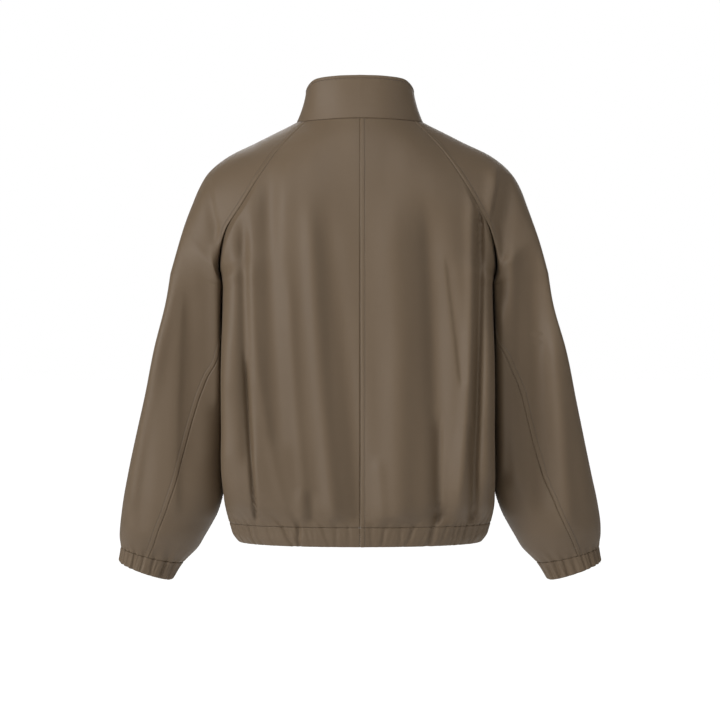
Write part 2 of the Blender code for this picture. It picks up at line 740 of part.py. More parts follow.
def make_tapes():
    face, back = tape_grids(TAPE_NEAR, TAPE_FAR)
    for side, hand in HANDS:
        wall(f"zip_tape_{hand}", on_side(face, side), on_side(back, side), TAPE)


def front_line():
    """The zip's line: the form's centre front, from the hem to the top of the collar."""
    body_rows = np.concatenate([[0.035], BAND_LEVELS[1:], BODY_LEVELS[:-1], [1.98]])
    collar_rows = np.array((0.05, SLIDER_RISE + 0.04))
    return np.vstack([
        body_form(FRONT, body_rows, np.zeros(body_rows.shape)),
        collar_form(collar_rows, np.ones(2)),
    ])


def make_chain():
    line = front_line()
    steps = unit(np.gradient(line, axis=0))
    outwards = np.cross(steps, np.array((1.0, 0, 0))) * -1
    half = np.array((CHAIN_HALF_WIDTH, 0, 0))
    grids = []
    for depth in (CHAIN_FACE, CHAIN_BACK):
        middle = line - depth * outwards
        grids.append(np.stack([middle - half, middle + half], axis=1))
    wall("zip_chain", grids[0], grids[1], TAPE)


def box(name, centre, size, collection):
    bpy.ops.mesh.primitive_cube_add(size=1, location=[value * MM for value in centre])
    obj = bpy.context.object
    obj.name = obj.data.name = name
    obj.scale = [value * MM for value in size]
    bpy.ops.object.transform_apply(location=False, rotation=False, scale=True)
    for old in obj.users_collection:
        old.objects.unlink(obj)
    collection.objects.link(obj)
    return obj


def combined(name, boxes, operation, finish, parent):
    """The first box, with each other box added to it or cut from it."""
    main = box(name, *boxes[0], jacket)
    main.parent = parent
    for index, (centre, size) in enumerate(boxes[1:]):
        tool = box(f"{name}_tool_{index}", centre, size, tools)
        tool.parent = parent
        tool.hide_render = True
        tool.display_type = "WIRE"
        modifier = main.modifiers.new("piece", "BOOLEAN")
        modifier.operation = operation
        modifier.object = tool
    main.data.materials.append(new_material(name, finish))


def line_frame(name, point, above):
    """An empty on the zip's line, whose Z axis runs up the line."""
    frame = bpy.data.objects.new(name, None)
    jacket.objects.link(frame)
    frame.location = point * MM
    lean = math.atan2(above[1] - point[1], above[2] - point[2])
    frame.rotation_euler = (-lean, 0, 0)
    return frame


def make_slider():
    low, high = collar_form(np.array((SLIDER_RISE, 1)), np.ones(2))
    frame = line_frame("slider_frame", low, high)
    plate = PLATE_FACE - PLATE_SEAT
    tape_side = COLLAR_CLOTH + 2.5 * TAPE_GAP + TAPE_THICKNESS
    crown_out = PLATE_FACE + CROWN_HEADROOM
    leg_reach = CROWN_HEADROOM + CROWN_THICKNESS + plate / 2
    leg_y = -(crown_out + CROWN_THICKNESS) + leg_reach / 2
    leg_z = CROWN_HALF_SPAN + CROWN_THICKNESS / 2
    post_height = 2.4
    post_reach = PLATE_SEAT + tape_side + plate
    boxes = [
        ((0, -(PLATE_FACE + PLATE_SEAT) / 2, 0), (PLATE_WIDTH, plate, PLATE_HEIGHT)),
        ((0, tape_side + plate / 2, 0), (PLATE_WIDTH, plate, PLATE_HEIGHT)),
        ((0, (tape_side - PLATE_SEAT) / 2, (PLATE_HEIGHT - post_height) / 2), (2.4, post_reach, post_height)),
        ((0, leg_y, leg_z), (CROWN_WIDTH, leg_reach, CROWN_THICKNESS)),
        ((0, leg_y, -leg_z), (CROWN_WIDTH, leg_reach, CROWN_THICKNESS)),
        (
            (0, -(crown_out + CROWN_THICKNESS / 2), 0),
            (CROWN_WIDTH, CROWN_THICKNESS, 2 * CROWN_HALF_SPAN + 1.5 * CROWN_THICKNESS),
        ),
    ]
    combined("zip_slider", boxes, "UNION", METAL, frame)
    hinge = bpy.data.objects.new("tab_hinge", None)
    jacket.objects.link(hinge)
    hinge.parent = frame
    hinge.location = (0, -(PLATE_FACE + CROWN_HEADROOM / 2) * MM, 0)
    bar = TAB_THICKNESS / 2
    boxes = [
        ((0, 0, bar - TAB_LENGTH / 2), (TAB_WIDTH, TAB_THICKNESS, TAB_LENGTH)),
        ((0, 0, -bar - TAB_WINDOW_LENGTH / 2), (TAB_WINDOW_WIDTH, 2 * TAB_THICKNESS, TAB_WINDOW_LENGTH)),
    ]
    combined("zip_pull_tab", boxes, "DIFFERENCE", METAL, hinge)


def make_stop_box():
    low, high = body_form(FRONT, np.array((0.003, 0.02)), np.zeros(2))
    frame = line_frame("stop_frame", low, high)
    size = (2 * FRONT_EDGE - 0.8, 3, 9)
    combined("zip_stop_box", [((0, 0, 5), size)], "UNION", METAL, frame)


for old in list(bpy.data.objects):
    bpy.data.objects.remove(old, do_unlink=True)
jacket = bpy.data.collections.new("bomber_jacket")
tools = bpy.data.collections.new("shaping_tools")
for group in (jacket, tools):
    bpy.context.scene.collection.children.link(group)
make_body()
for sleeve_side, sleeve_hand in HANDS:
    make_sleeve(sleeve_side, sleeve_hand)
    make_cuff(sleeve_side, sleeve_hand)
make_collar()
make_tapes()
make_chain()
make_slider()
make_stop_box()
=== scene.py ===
"""The looks of a bomber jacket: its cloth, gathers, topstitching and zip, around its packed frame.

The jacket is filled out as when it is worn, its front towards -Y, +X on the wearer's left. Tables
and sizes of the cloth are in millimetres, and everything that is put in the scene is in metres.

Every cut piece of cloth is a thin shell on a smooth form. The form of the body runs from the lower
edge of the hem band (level 0) past the underarm (level 1) to the neck seam (level 2). The form of a
sleeve runs from the lower edge of the cuff (level 0) past the underarm (level 1), and its raglan cap
ends at the same neck seam (level 2). Folds move the cloth straight back or forward, gathers move it
level with the floor, and the relief of its seams moves it straight out.
"""

import math
from collections import namedtuple
from functools import wraps

import bpy
import numpy as np
from mathutils import Matrix, Vector, noise


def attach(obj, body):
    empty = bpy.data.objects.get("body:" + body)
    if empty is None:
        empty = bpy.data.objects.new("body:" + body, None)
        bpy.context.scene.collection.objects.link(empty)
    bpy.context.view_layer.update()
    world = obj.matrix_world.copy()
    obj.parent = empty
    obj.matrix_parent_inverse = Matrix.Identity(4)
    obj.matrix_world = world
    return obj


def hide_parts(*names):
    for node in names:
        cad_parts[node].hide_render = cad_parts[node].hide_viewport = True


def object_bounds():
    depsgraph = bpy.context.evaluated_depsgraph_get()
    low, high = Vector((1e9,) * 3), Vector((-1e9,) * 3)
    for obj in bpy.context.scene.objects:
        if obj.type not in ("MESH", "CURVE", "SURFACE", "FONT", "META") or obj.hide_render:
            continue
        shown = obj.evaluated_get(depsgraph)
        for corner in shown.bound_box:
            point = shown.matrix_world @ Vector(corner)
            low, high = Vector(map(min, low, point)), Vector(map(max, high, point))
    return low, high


bl_info = {
    "name": "Bomber Jacket Looks",
    "version": (1, 0, 0),
    "blender": (4, 5, 0),
    "location": "3D View > Sidebar > Jacket",
    "description": "Sews the cloth, topstitching and zip of a bomber jacket around its frame",
    "category": "Object",
}

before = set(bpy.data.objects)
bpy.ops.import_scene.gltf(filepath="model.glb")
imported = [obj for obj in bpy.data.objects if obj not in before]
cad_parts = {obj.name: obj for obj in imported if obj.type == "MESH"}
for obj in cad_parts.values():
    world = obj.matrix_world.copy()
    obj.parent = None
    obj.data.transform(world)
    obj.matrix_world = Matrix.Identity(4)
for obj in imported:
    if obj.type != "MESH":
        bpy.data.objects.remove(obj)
CAD_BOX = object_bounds()

MM = 0.001
BACK, FRONT = 1, -1
LEFT, RIGHT = 1, -1
HANDS = ((LEFT, "left"), (RIGHT, "right"))

# Heights and gaps
BAND_BOTTOM = -629
HEM_SEAM = -600
UNDERARM = -245
CUFF_BOTTOM = -660.3
CUFF_SEAM = -639.8
ARM_TOP = -228
SEAM_GAP = 0.06
ARMHOLE_GAP = 0.15
FRONT_EDGE = 4.5

# How full the yoke is: the reach of its curves' handles, as a share of the chord
YOKE_FULLNESS = 0.38
# How much lower than its middle a sleeve's end hangs at the back, and up to which level
CUFF_SAG, CUFF_SAG_REACH = 3.5, 0.25
# How a boxy ring spreads towards its corners and fills them out
BOX_SPREAD, BOX_POWER = 0.5, 0.2
# How far a curve's handles stand out for each mm that its middle stands out
HANDLE = 4 / 3

# By which share of the rise from the underarm to the neck the body's rings, the sleeve's at its seam
# and the sleeve's at its shoulder have turned from standing side by side to lying as one surface
BODY_TURN, SEAM_TURN, SHOULDER_TURN = 0.46, 0.44, 0.85
# How much a sleeve puffs out above the underarm, and by which share of the rise
PUFF, PUFF_RISE = 4, 0.25

# The torso's rings, from the hem band's lower edge to the underarm: the height, the half width, where
# the back, the front and the side lie in y, and how full the ring is
TORSO = (
    (-629, 181, 112, -104, 10, 0.60), (-618, 189.5, 116, -108, 10, 0.61),
    (-606, 193.5, 118, -110, 11, 0.62), (-594, 197, 120, -112, 12, 0.66),
    (-582, 200, 123, -115, 14, 0.74), (-570, 202, 125, -117, 15, 0.84),
    (-550, 203.5, 126, -118, 16, 0.96), (-450, 204, 127, -120, 18, 1.08),
    (-340, 203.5, 126, -121, 12, 1.08), (-290, 203, 126, -122, 5, 1.02),
    (-245, 203, 126, -123, -5, 0.98),
)

# Guide lines of the yoke, as points from the underarm level up to the neck seam
UNDERARM_POINT = (203, -5, -245)
CENTRE_BACK = (
    (0, 126, -245), (0, 125, -200), (0, 118.5, -130), (0, 104, -60), (0, 91, -25), (0, 76, 0),
)
CENTRE_FRONT = (
    (0, -123, -245), (0, -122, -200), (0, -112, -120), (0, -97, -66), (0, -84, -40),
)
RAGLAN_BACK = (
    UNDERARM_POINT,
    (208, 52, -214), (197, 82, -165), (172, 91, -125), (147, 84, -84), (121, 66, -46), (80, 43, -2),
)
RAGLAN_FRONT = (
    UNDERARM_POINT,
    (206, -46, -226), (199, -79, -188), (175, -96, -148), (144, -92, -107), (108, -76, -63),
    (72, -55, -22),
)
SHOULDER = (
    (280, -5, -228), (265, -4, -174.6), (250, -3, -126.6), (241, -3, -102.6), (227, -2, -78.6),
    (215, -1, -66.6), (199, 0, -54.6), (152, 0, -30.6), (104, 0, -6.6), (95, 0, -2),
)

# The sleeve's rings, from the cuff's lower edge to the underarm: the outer edge's z, x and y, the
# inner edge's x, y and z, how far the back and the front bulge, and how boxy the ring is
SLEEVE = (
    (-660.3, 364.2, -22, 282.5, -29, -689, 36, 34, 0),
    (-639.8, 361, -21, 266, -29, -663, 41, 37, 0), (-622, 362.2, -20, 245, -28, -641, 54, 48, 0.05),
    (-606, 361.2, -18, 234.8, -26, -624, 64, 58, 0.1),
    (-583, 358, -15, 222.6, -23, -603, 69, 61, 0.15),
    (-558, 353.3, -12, 214, -20, -586, 72, 62, 0.25),
    (-530, 347, -9.5, 206.4, -17, -559, 73.5, 62.8, 0.35),
    (-487, 336.8, -5, 205.5, -14, -517, 75, 64, 0.5), (-415, 320.6, 0, 205, -8, -442, 78, 68, 0.8),
    (-343, 303.8, 3, 205, -4, -366, 80, 70, 1), (-270, 285.8, -1, 205, -3, -290, 79, 74, 1),
    (-228, 280, -5, 203, -5, -245, 81, 80, 0.9),
)

# Where the back seams of the left and right sleeves run: the outer edge's height, and for each sleeve
# the share of the way round from the underarm
SLEEVE_SEAM = (
    (-660.3, 0.260, 0.300), (-620, 0.260, 0.289), (-600, 0.257, 0.277), (-575, 0.252, 0.266),
    (-550, 0.249, 0.259), (-510, 0.239, 0.243), (-465, 0.226, 0.229), (-425, 0.212, 0.218),
    (-385, 0.191, 0.206), (-355, 0.160, 0.185), (-325, 0.086, 0.148), (-300, 0.035, 0.070),
    (-262, 0.012, 0.02), (-228, 0.0, 0.0),
)

# The collar's top edge, from the centre back to the centre front
COLLAR_TOP = (
    (0, 69, 64), (36, 65, 63), (66, 50, 59.5), (78, 20, 51), (80, 0, 45), (76, -25, 37.5),
    (60, -49, 30), (32, -66, 24), (0, -72, 22),
)
COLLAR_WAIST = -2.5

# How far the right armhole hangs nearer the middle than the left one, and over what stretch: round
# this middle and within this reach in x, and from a foot to a top in z, each with its ease
Lopsided = namedtuple("Lopsided", "shift middle reach foot foot_ease top top_ease")
LOPSIDED = Lopsided(6, 203, 45, -600, 100, -90, 80)


def table(kind, *rows):
    """Rows of numbers under the names of their columns."""
    return tuple(kind(*row) for row in rows)


# Folds: a ridge (depth over 0) or a trough (under 0) that runs from its top to its foot. A lean
# makes one side of it steep: the side towards +x where it is over 0. The foot's share is how deep
# it is towards its foot, against its depth towards its top
Fold = namedtuple("Fold", "top_x top_z foot_x foot_z bow width depth lean foot_share", defaults=(0, 1))
BACK_FOLDS = table(
    Fold,
    (207, -150, 205, -560, 0, 10, 10, 0, 0.55), (198, -128, 195, -530, 0, 19, 14, 0, 0.35),
    (190, -60, 185, -420, 0, 55, 6, 0, 0.6), (171, -130, 163, -520, 0, 9, -8.5, 0, 0.55),
    (160, -125, 106, -585, 17, 8, 2, 0, 0.6), (132, -54, 115, -500, 6, 16, -12, 0, 0.38),
    (104, -200, 74, -620, 4, 8, 2), (76, -90, 36, -620, 3, 13, 4.5, 0, 1.4),
    (54, -100, -4, -620, -4, 18, -3.5, 0, 2), (-46, -90, -58, -620, -2, 25, 9.5),
    (-97, -100, -117, -640, -4, 18, -10, 0.15), (-165, -60, -140, -590, -12, 12, 6.5),
    (-181, -30, -165, -640, -3, 7.5, -12), (-193, -90, -190, -600, 0, 9, 5, 0, 0.5),
    (-205, -150, -204, -560, 0, 12, 13, 0, 0.6),
)
BACK_CREASES = table(
    Fold,
    (169, -330, 148, -640, 1, 3.5, -6.5), (-165, -440, -163, -640, 0, 4.5, -4),
    (-116, -430, -113, -640, 0, 6, -5, -0.3), (-126, -195, -151, -400, 0, 7, -2.6, 0.4),
    (86, -535, 89, -650, 0, 8, 2.5), (71, -540, 70, -650, 0, 8, -2.5),
    (-26, -490, -34, -640, 0, 9, 3),
)
FRONT_FOLDS = table(
    Fold,
    (193, -160, 189, -600, 0, 10, 7), (168, -170, 160, -580, 5, 13, -11, -0.4),
    (140, -110, 128, -600, 6, 14, 6), (112, -90, 90, -590, 6, 14, -8),
    (74, -110, 50, -560, 4, 16, 6), (-52, -130, -38, -600, -4, 16, -6),
    (-84, -90, -74, -590, -6, 15, 7), (-116, -120, -106, -560, -5, 13, -8),
    (-148, -150, -138, -600, -4, 12, 6), (-172, -160, -164, -620, -3, 10, -11, 0.3),
    (-192, -160, -188, -600, 0, 9, 5),
)
FRONT_CREASES = table(
    Fold,
    (168, -220, 158, -610, 4, 4, -2.5, -0.3), (-171, -230, -165, -610, -3, 4, -3, 0.3),
    (104, -420, 98, -610, 2, 6, -2), (-96, -440, -100, -610, 0, 6, -2),
    (52, -460, 46, -610, 0, 5, 1.5),
)
SLEEVE_BACK_FOLDS = {
    LEFT: table(
        Fold,
        (228, -74, 205, -190, 2, 8, -3.5, -0.3), (207, -170, 206, -440, 0, 14, 8, 0, 0.7),
        (262, -230, 275, -600, 2, 12, 3, -0.3), (265, -200, 350, -600, 0, 12, 3.5),
        (250, -240, 246, -520, 0, 13, -1.6), (306, -360, 330, -630, 0, 12, -2.2),
    ),
    RIGHT: table(
        Fold,
        (203, -60, 187, -200, 0, 8, 6.5, 0.5), (222, -66, 208, -215, 2, 12, -7),
        (212, -250, 214, -540, 0, 9, 10), (230, -165, 234, -560, -8, 11, 9, 0, 0.7),
        (257, -170, 270, -600, 0, 16, -9), (282, -290, 312, -620, 0, 14, 6),
    ),
}
SLEEVE_FRONT_FOLDS = table(
    Fold,
    (226, -78, 204, -190, 2, 9, -4.5), (226, -170, 240, -460, 0, 12, 7),
    (250, -190, 278, -580, -2, 12, -7), (276, -220, 318, -620, 0, 13, 5),
    (240, -430, 264, -630, 4, 11, -5),
)

# Gathers: creases where elastic draws the cloth in. A crease's place is its share of the way along
# the panel, its slant how far its foot lies from its head for each mm down, and its reach how far
# it runs up from the seam
Crease = namedtuple("Crease", "place slant width depth reach")
BACK_GATHERS = {
    LEFT: table(
        Crease,
        (0.045, 0, 2.2, 0.8, 8), (0.10, 0.1, 2.4, 1.0, 10), (0.155, -0.1, 2.4, 1.3, 12),
        (0.205, 0.1, 2.2, 0.8, 8), (0.275, 0.28, 3.2, 4.4, 24), (0.362, -0.15, 3.2, 3.2, 20),
        (0.46, 0, 3, 0.7, 10), (0.55, 0.1, 3, 1.6, 16), (0.62, 0.1, 2.6, 2.2, 14),
        (0.69, -0.1, 2.6, 1.6, 12), (0.76, 0.1, 2.8, 2.4, 18), (0.86, -0.1, 2.8, 2.4, 16),
        (0.94, 0, 2.6, 2.0, 12),
    ),
    RIGHT: table(
        Crease,
        (0.045, 0.05, 2.4, 1.0, 8), (0.107, -0.1, 2.4, 1.4, 12), (0.173, 0.15, 2.4, 1.2, 10),
        (0.238, -0.2, 2.6, 1.6, 12), (0.345, 0.08, 4.2, 4.4, 28), (0.42, 0, 2.6, 0.6, 10),
        (0.487, 0.1, 2.4, 2.0, 14), (0.52, 0.1, 2.4, 1.8, 12), (0.57, 0.15, 2.8, 2.8, 20),
        (0.64, 0.2, 2.6, 2.2, 18), (0.71, -0.15, 2.8, 2.4, 16), (0.80, 0.1, 2.8, 2.4, 16),
        (0.88, -0.1, 2.8, 2.2, 16), (0.95, 0, 2.6, 2.0, 12),
    ),
}
CUFF_GATHERS = {
    LEFT: table(
        Crease,
        (0.03, -0.1, 2.6, 2.4, 10), (0.07, 0, 2.4, 1.2, 7), (0.105, -0.15, 2.6, 2.8, 13),
        (0.155, -0.1, 2.4, 2.2, 9), (0.2, 0, 2.4, 2.0, 12), (0.26, 0.1, 2.6, 2.4, 10),
    ),
    RIGHT: table(
        Crease,
        (0.025, 0, 2.4, 2.2, 8), (0.06, 0.1, 2.4, 1.0, 6), (0.095, -0.1, 2.6, 2.8, 11),
        (0.15, 0, 2.4, 2.4, 12), (0.19, 0.1, 2.4, 2.0, 8), (0.25, -0.1, 2.6, 2.6, 10),
    ),
}
UNDERCUFF_GATHERS = {
    LEFT: table(
        Crease,
        (0.2, -0.2, 2.4, 2.0, 8), (0.42, -0.3, 2.4, 2.6, 12), (0.625, -0.3, 3.2, 4.4, 20),
        (0.88, -0.2, 2.4, 2.4, 12),
    ),
    RIGHT: table(
        Crease,
        (0.2, -0.2, 2.4, 2.2, 8), (0.4, -0.25, 2.4, 2.6, 13), (0.56, -0.2, 3.2, 4.4, 22),
        (0.74, -0.2, 2.6, 3.0, 15), (0.9, -0.1, 2.4, 2.2, 10),
    ),
}


# Arithmetic on whole grids of points


def mix(start, end, share):
    return start + (end - start) * share


def smooth(share):
    share = np.clip(share, 0, 1)
    return share * share * (3 - 2 * share)


def unit(vectors):
    return vectors / np.linalg.norm(vectors, axis=-1, keepdims=True)


def length(vectors):
    return np.linalg.norm(vectors, axis=-1, keepdims=True)


def eased(value, start, width):
    """Rises from 0 to 1 over this width past its start."""
    return smooth((value - start) / width)


def stacked(x, y, z):
    return np.stack(np.broadcast_arrays(x, y, z), axis=-1)


def bump(distance, width):
    """A soft hump, one high and about this wide."""
    return np.exp(-((distance / width) ** 2))


def through(rows, at):
    """The smooth curve through a table's rows: the first column is where each row stands."""
    table = np.array(rows, float)
    place, values = table[:, 0], table[:, 1:]
    steps = np.diff(place)[:, None]
    slopes = np.diff(values, axis=0) / steps
    inner = (slopes[1:] * steps[:-1] + slopes[:-1] * steps[1:]) / (steps[1:] + steps[:-1])
    tangents = np.vstack([slopes[:1], inner, slopes[-1:]])
    at = np.asarray(at, float)
    row = np.clip(np.searchsorted(place, at) - 1, 0, len(place) - 2)
    step = (place[row + 1] - place[row])[..., None]
    t = (at - place[row])[..., None] / step
    return (
        (2 * t**3 - 3 * t**2 + 1) * values[row]
        + (t**3 - 2 * t**2 + t) * step * tangents[row]
        + (3 * t**2 - 2 * t**3) * values[row + 1]
        + (t**3 - t**2) * step * tangents[row + 1]
    )


def guide(points):
    """A line's points, each with the share of the line's length at which it stands."""
    points = np.array(points, float)
    steps = np.linalg.norm(np.diff(points, axis=0), axis=1)
    shares = np.concatenate([[0], np.cumsum(steps)]) / steps.sum()
    return np.column_stack([shares, points])


def bezier(start, leave, arrive, end, share):
    t = share[..., None]
    return (
        (1 - t) ** 3 * start
        + 3 * t * (1 - t) ** 2 * leave
        + 3 * t**2 * (1 - t) * arrive
        + t**3 * end
    )


# The forms


CENTRE_GUIDE = {BACK: guide(CENTRE_BACK), FRONT: guide(CENTRE_FRONT)}
RAGLAN_GUIDE = {BACK: guide(RAGLAN_BACK), FRONT: guide(RAGLAN_FRONT)}
SHOULDER_GUIDE = guide(SHOULDER)
COLLAR_GUIDE = guide(COLLAR_TOP)


def body_level(z):
    return (z - BAND_BOTTOM) / (UNDERARM - BAND_BOTTOM)


def sleeve_level(outer_z):
    return (outer_z - CUFF_BOTTOM) / (ARM_TOP - CUFF_BOTTOM)


def outer_height(level):
    """The height of a sleeve's outer edge."""
    return mix(CUFF_BOTTOM, ARM_TOP, np.minimum(level, 1))


def yoke_lines(face, rise):
    """The centre line, raglan seam and shoulder line at this share of the rise above the underarm."""
    return [through(line, rise) for line in (CENTRE_GUIDE[face], RAGLAN_GUIDE[face], SHOULDER_GUIDE)]


def body_form(face, level, across):
    """Half of the body on +X: across runs from the centre line (0) to the side or raglan seam (1)."""
    level, across = np.broadcast_arrays(np.asarray(level, float), across)
    height = mix(BAND_BOTTOM, UNDERARM, np.minimum(level, 1))
    ring = through(TORSO, height)
    half_width, side_y, fullness = ring[..., 0], ring[..., 3], ring[..., 4:5]
    depth = ring[..., 1 if face == BACK else 2]
    rise = np.maximum(level - 1, 0)
    below = (level < 1)[..., None]
    centre, edge, shoulder = yoke_lines(face, rise)
    centre = np.where(below, stacked(0, depth, height), centre)
    edge = np.where(below, stacked(half_width, side_y, height), edge)
    yoke = smooth(rise / BODY_TURN)[..., None]
    chord = length(edge - centre)
    turn = unit(edge - centre) + unit(shoulder - edge)
    tangent = unit(mix(np.array((0, -face, 0)), unit(turn), yoke))
    reach_centre = mix(fullness * edge[..., :1], YOKE_FULLNESS * chord, yoke)
    reach_edge = mix(fullness * abs(centre - edge)[..., 1:2], YOKE_FULLNESS * chord, yoke)
    leave = centre + reach_centre * np.array((1, 0, 0))
    return bezier(centre, leave, edge - reach_edge * tangent, edge, across)


def sleeve_half(face, level, share):
    """Half of a sleeve's ring: share runs from the underarm or raglan seam (0) to the shoulder (1)."""
    outer_z = outer_height(level)
    section = through(SLEEVE, outer_z)
    rise = np.maximum(level - 1, 0)
    below = (level < 1)[..., None]
    centre, edge, shoulder = yoke_lines(face, rise)
    edge = np.where(below, section[..., 2:5], edge)
    shoulder = np.where(below, stacked(section[..., 0], section[..., 1], outer_z), shoulder)
    depth = section[..., 5:6] if face == BACK else section[..., 6:7]
    depth = depth + PUFF * smooth(rise / PUFF_RISE)[..., None]
    by_seam = smooth(rise / SEAM_TURN)[..., None]
    by_shoulder = smooth(rise / SHOULDER_TURN)[..., None]
    chord = length(shoulder - edge)
    turn = unit(edge - centre) + unit(shoulder - edge)
    outwards = np.array((0, face, 0))
    tangent = unit(mix(outwards, unit(turn), by_seam))
    round_reach = HANDLE * depth
    inset_reach = np.maximum(round_reach - HANDLE * abs(edge - shoulder)[..., 1:2], chord / 4)
    leave = edge + mix(inset_reach, YOKE_FULLNESS * chord, by_seam) * tangent
    arrive = shoulder + mix(round_reach, YOKE_FULLNESS * chord, by_shoulder) * outwards
    sag = -face * CUFF_SAG * smooth(1 - level / CUFF_SAG_REACH)
    sagged = stacked(0, 0, HANDLE * sag)
    points = bezier(edge, leave + sagged, arrive + sagged, shoulder, share)
    boxy = section[..., 7:8] * (1 - by_seam)
    swing = (1 - 2 * smooth(share))[..., None]
    bulge = np.clip(4 * share * (1 - share), 0, 1)[..., None]
    aside = -BOX_SPREAD / 2 * swing * (1 - swing**2)
    lift = bulge**BOX_POWER - bulge
    return points + boxy * (aside * (shoulder - edge) + lift * depth * outwards)


def sleeve_form(level, around):
    """A sleeve on +X: around runs from the underarm by the back, the shoulder (0.5) and the front."""
    level, around = np.broadcast_arrays(np.asarray(level, float), around)
    back = sleeve_half(BACK, level, 2 * around)
    front = sleeve_half(FRONT, level, 2 - 2 * around)
    points = np.where((around < 0.5)[..., None], back, front)
    return points + np.array((ARMHOLE_GAP, 0, 0))


def on_side(points, side):
    """Points made on +X, brought to their own side."""
    x, y, z = np.moveaxis(points, -1, 0)
    if side == RIGHT:
        hung = eased(z, LOPSIDED.foot, LOPSIDED.foot_ease)
        hung = hung * smooth((LOPSIDED.top - z) / LOPSIDED.top_ease)
        x = x - LOPSIDED.shift * hung * bump(x - LOPSIDED.middle, LOPSIDED.reach)
    return stacked(side * x, y, z)


def neck_line():
    """The neck seam on +X, from the centre back to the centre front."""
    share = np.linspace(0, 1, 17)
    back = body_form(BACK, 2, share)
    cap = sleeve_form(2, share)
    front = body_form(FRONT, 2, share[::-1])
    return np.vstack([back[:-1], cap[1:-1], front[1:]])


NECK_LINE = guide(neck_line())


def collar_form(rise, along):
    """Half of the collar on +X: a rise of 0 is the neck seam, and along runs from back (0) to front."""
    rise, along = np.broadcast_arrays(np.asarray(rise, float), along)
    lower = through(NECK_LINE, along)
    upper = through(COLLAR_GUIDE, along)
    outwards = unit(mix(lower, upper, 0.5) * np.array((1, 1, 0)))
    waist = COLLAR_WAIST * 4 * (rise * (1 - rise) * (1 - along**4))[..., None]
    return mix(lower, upper, rise[..., None]) + waist * outwards


def seam_share(level, side):
    """The share of the way round at which the sleeve's back seam lies."""
    return through(SLEEVE_SEAM, outer_height(level))[..., 0 if side == LEFT else 1]


# Folds and gathers


# The shares of a fold's run over which it rises from its top and sinks at its foot
FOLD_TOP, FOLD_FOOT = 0.18, 0.1
# How quickly a leaning fold goes from its steep side to its slack side
LEAN_TURN = 3
# How a gather fades up from its seam, and how much wider it fans out by the end of its reach
FADE_POWER, FAN = 1.5, 1.5
# The lengths of hanging cloth's slow waves across the body, from back to front, and up and down
DRAPE_WAVES = (38, 60, 210)


def folds_at(folds, x, z):
    """How far the folds move the cloth out at a place seen from straight behind or in front."""
    out = np.zeros(np.broadcast(x, z).shape)
    for fold in folds:
        run = (fold.top_z - z) / (fold.top_z - fold.foot_z)
        middle = mix(fold.top_x, fold.foot_x, run) + 4 * fold.bow * run * (1 - run)
        ends = smooth(run / FOLD_TOP) * smooth((1 - run) / FOLD_FOOT)
        aside = (x - middle) / fold.width
        depth = fold.depth * mix(1, fold.foot_share, np.clip(run, 0, 1))
        out += depth * ends * bump(aside, 1 - fold.lean * np.tanh(LEAN_TURN * aside))
    return out


def creases_at(creases, place, height, seam, arc):
    """How far the gathers move the cloth: place is along a panel whose gathered seam is this long."""
    above = np.clip(height - seam, 0, None)
    out = np.zeros(np.broadcast(place, height).shape)
    for crease in creases:
        middle = crease.place + crease.slant * (seam - height) / arc
        fade = np.exp(-((above / crease.reach) ** FADE_POWER))
        spread_out = crease.width * (1 + FAN * above / crease.reach)
        out -= crease.depth * fade * bump((place - middle) * arc, spread_out)
    return out


def sway(k, seed, pace, amount):
    """How far one of a row of things departs from the rest."""
    return amount * math.sin(pace * k + seed)


def irregular(count, seed, width, depth, reach):
    """Creases along a whole seam, each a little unlike the next."""
    return tuple(
        Crease(
            place=(k + 0.5 + sway(k, seed, pace=2.4, amount=0.3)) / count,
            slant=sway(k, seed, pace=3.1, amount=0.15),
            width=width * (1 + sway(k, seed, pace=4.3, amount=0.25)),
            depth=depth * (1 + sway(k, 2 * seed, pace=1.7, amount=0.45)),
            reach=reach * (1 + sway(k, 3 * seed, pace=2.9, amount=0.4)),
        )
        for k in range(count)
    )


def drape(points, side, amount):
    """The slow unevenness of hanging cloth: soft waves that run mostly up and down."""
    x, y, z = DRAPE_WAVES
    places = points.reshape(-1, 3) * np.array((side / x, 1 / y, 1 / z))
    waves = [noise.noise(place) for place in places.tolist()]
    return amount * np.array(waves).reshape(points.shape[:-1])


# Gathers move the cloth level, so that its gathered seam stays straight
LEVEL = np.array((1, 1, 0))
# The small step along a form over which its slope is measured
STEP = 1e-3


def normal(points, level, across, turn):
    """The direction straight out of a form. The turn says which way round its two measures run."""
    along = points(level + STEP, across) - points(level - STEP, across)
    over = points(level, across + STEP) - points(level, across - STEP)
    return turn * unit(np.cross(along, over))


# The lengths of the gathered seams
HEM_ARC, SLEEVE_ARC, UNDERSLEEVE_ARC = 262, 240, 70
FRONT_GATHERS = {
    side: irregular(11, seed, width=3, depth=2.2, reach=18) for side, seed in ((LEFT, 1.3), (RIGHT, 4.1))
}
# The share of the way along the cuff from which its gathers are hidden in the photo and made plainly
HIDDEN_CUFF = 0.31

# How far from an edge the folds and gathers stay calm and come in. By the hem it is in mm, by the
# cuff in levels, and elsewhere in shares of the way across or around
HEM_EASE = 18
ZIP_CALM, ZIP_EASE = 0.04, 0.1
CUFF_CALM, CUFF_EASE = 0.07, 0.08
BODY_FOLD_EASE, BODY_GATHER_EASE, CENTRE_EASE = 0.05, 0.03, 0.025
UNDERARM_EASE, SHOULDER_EASE, SLEEVE_GATHER_EASE = 0.08, 0.06, 0.02


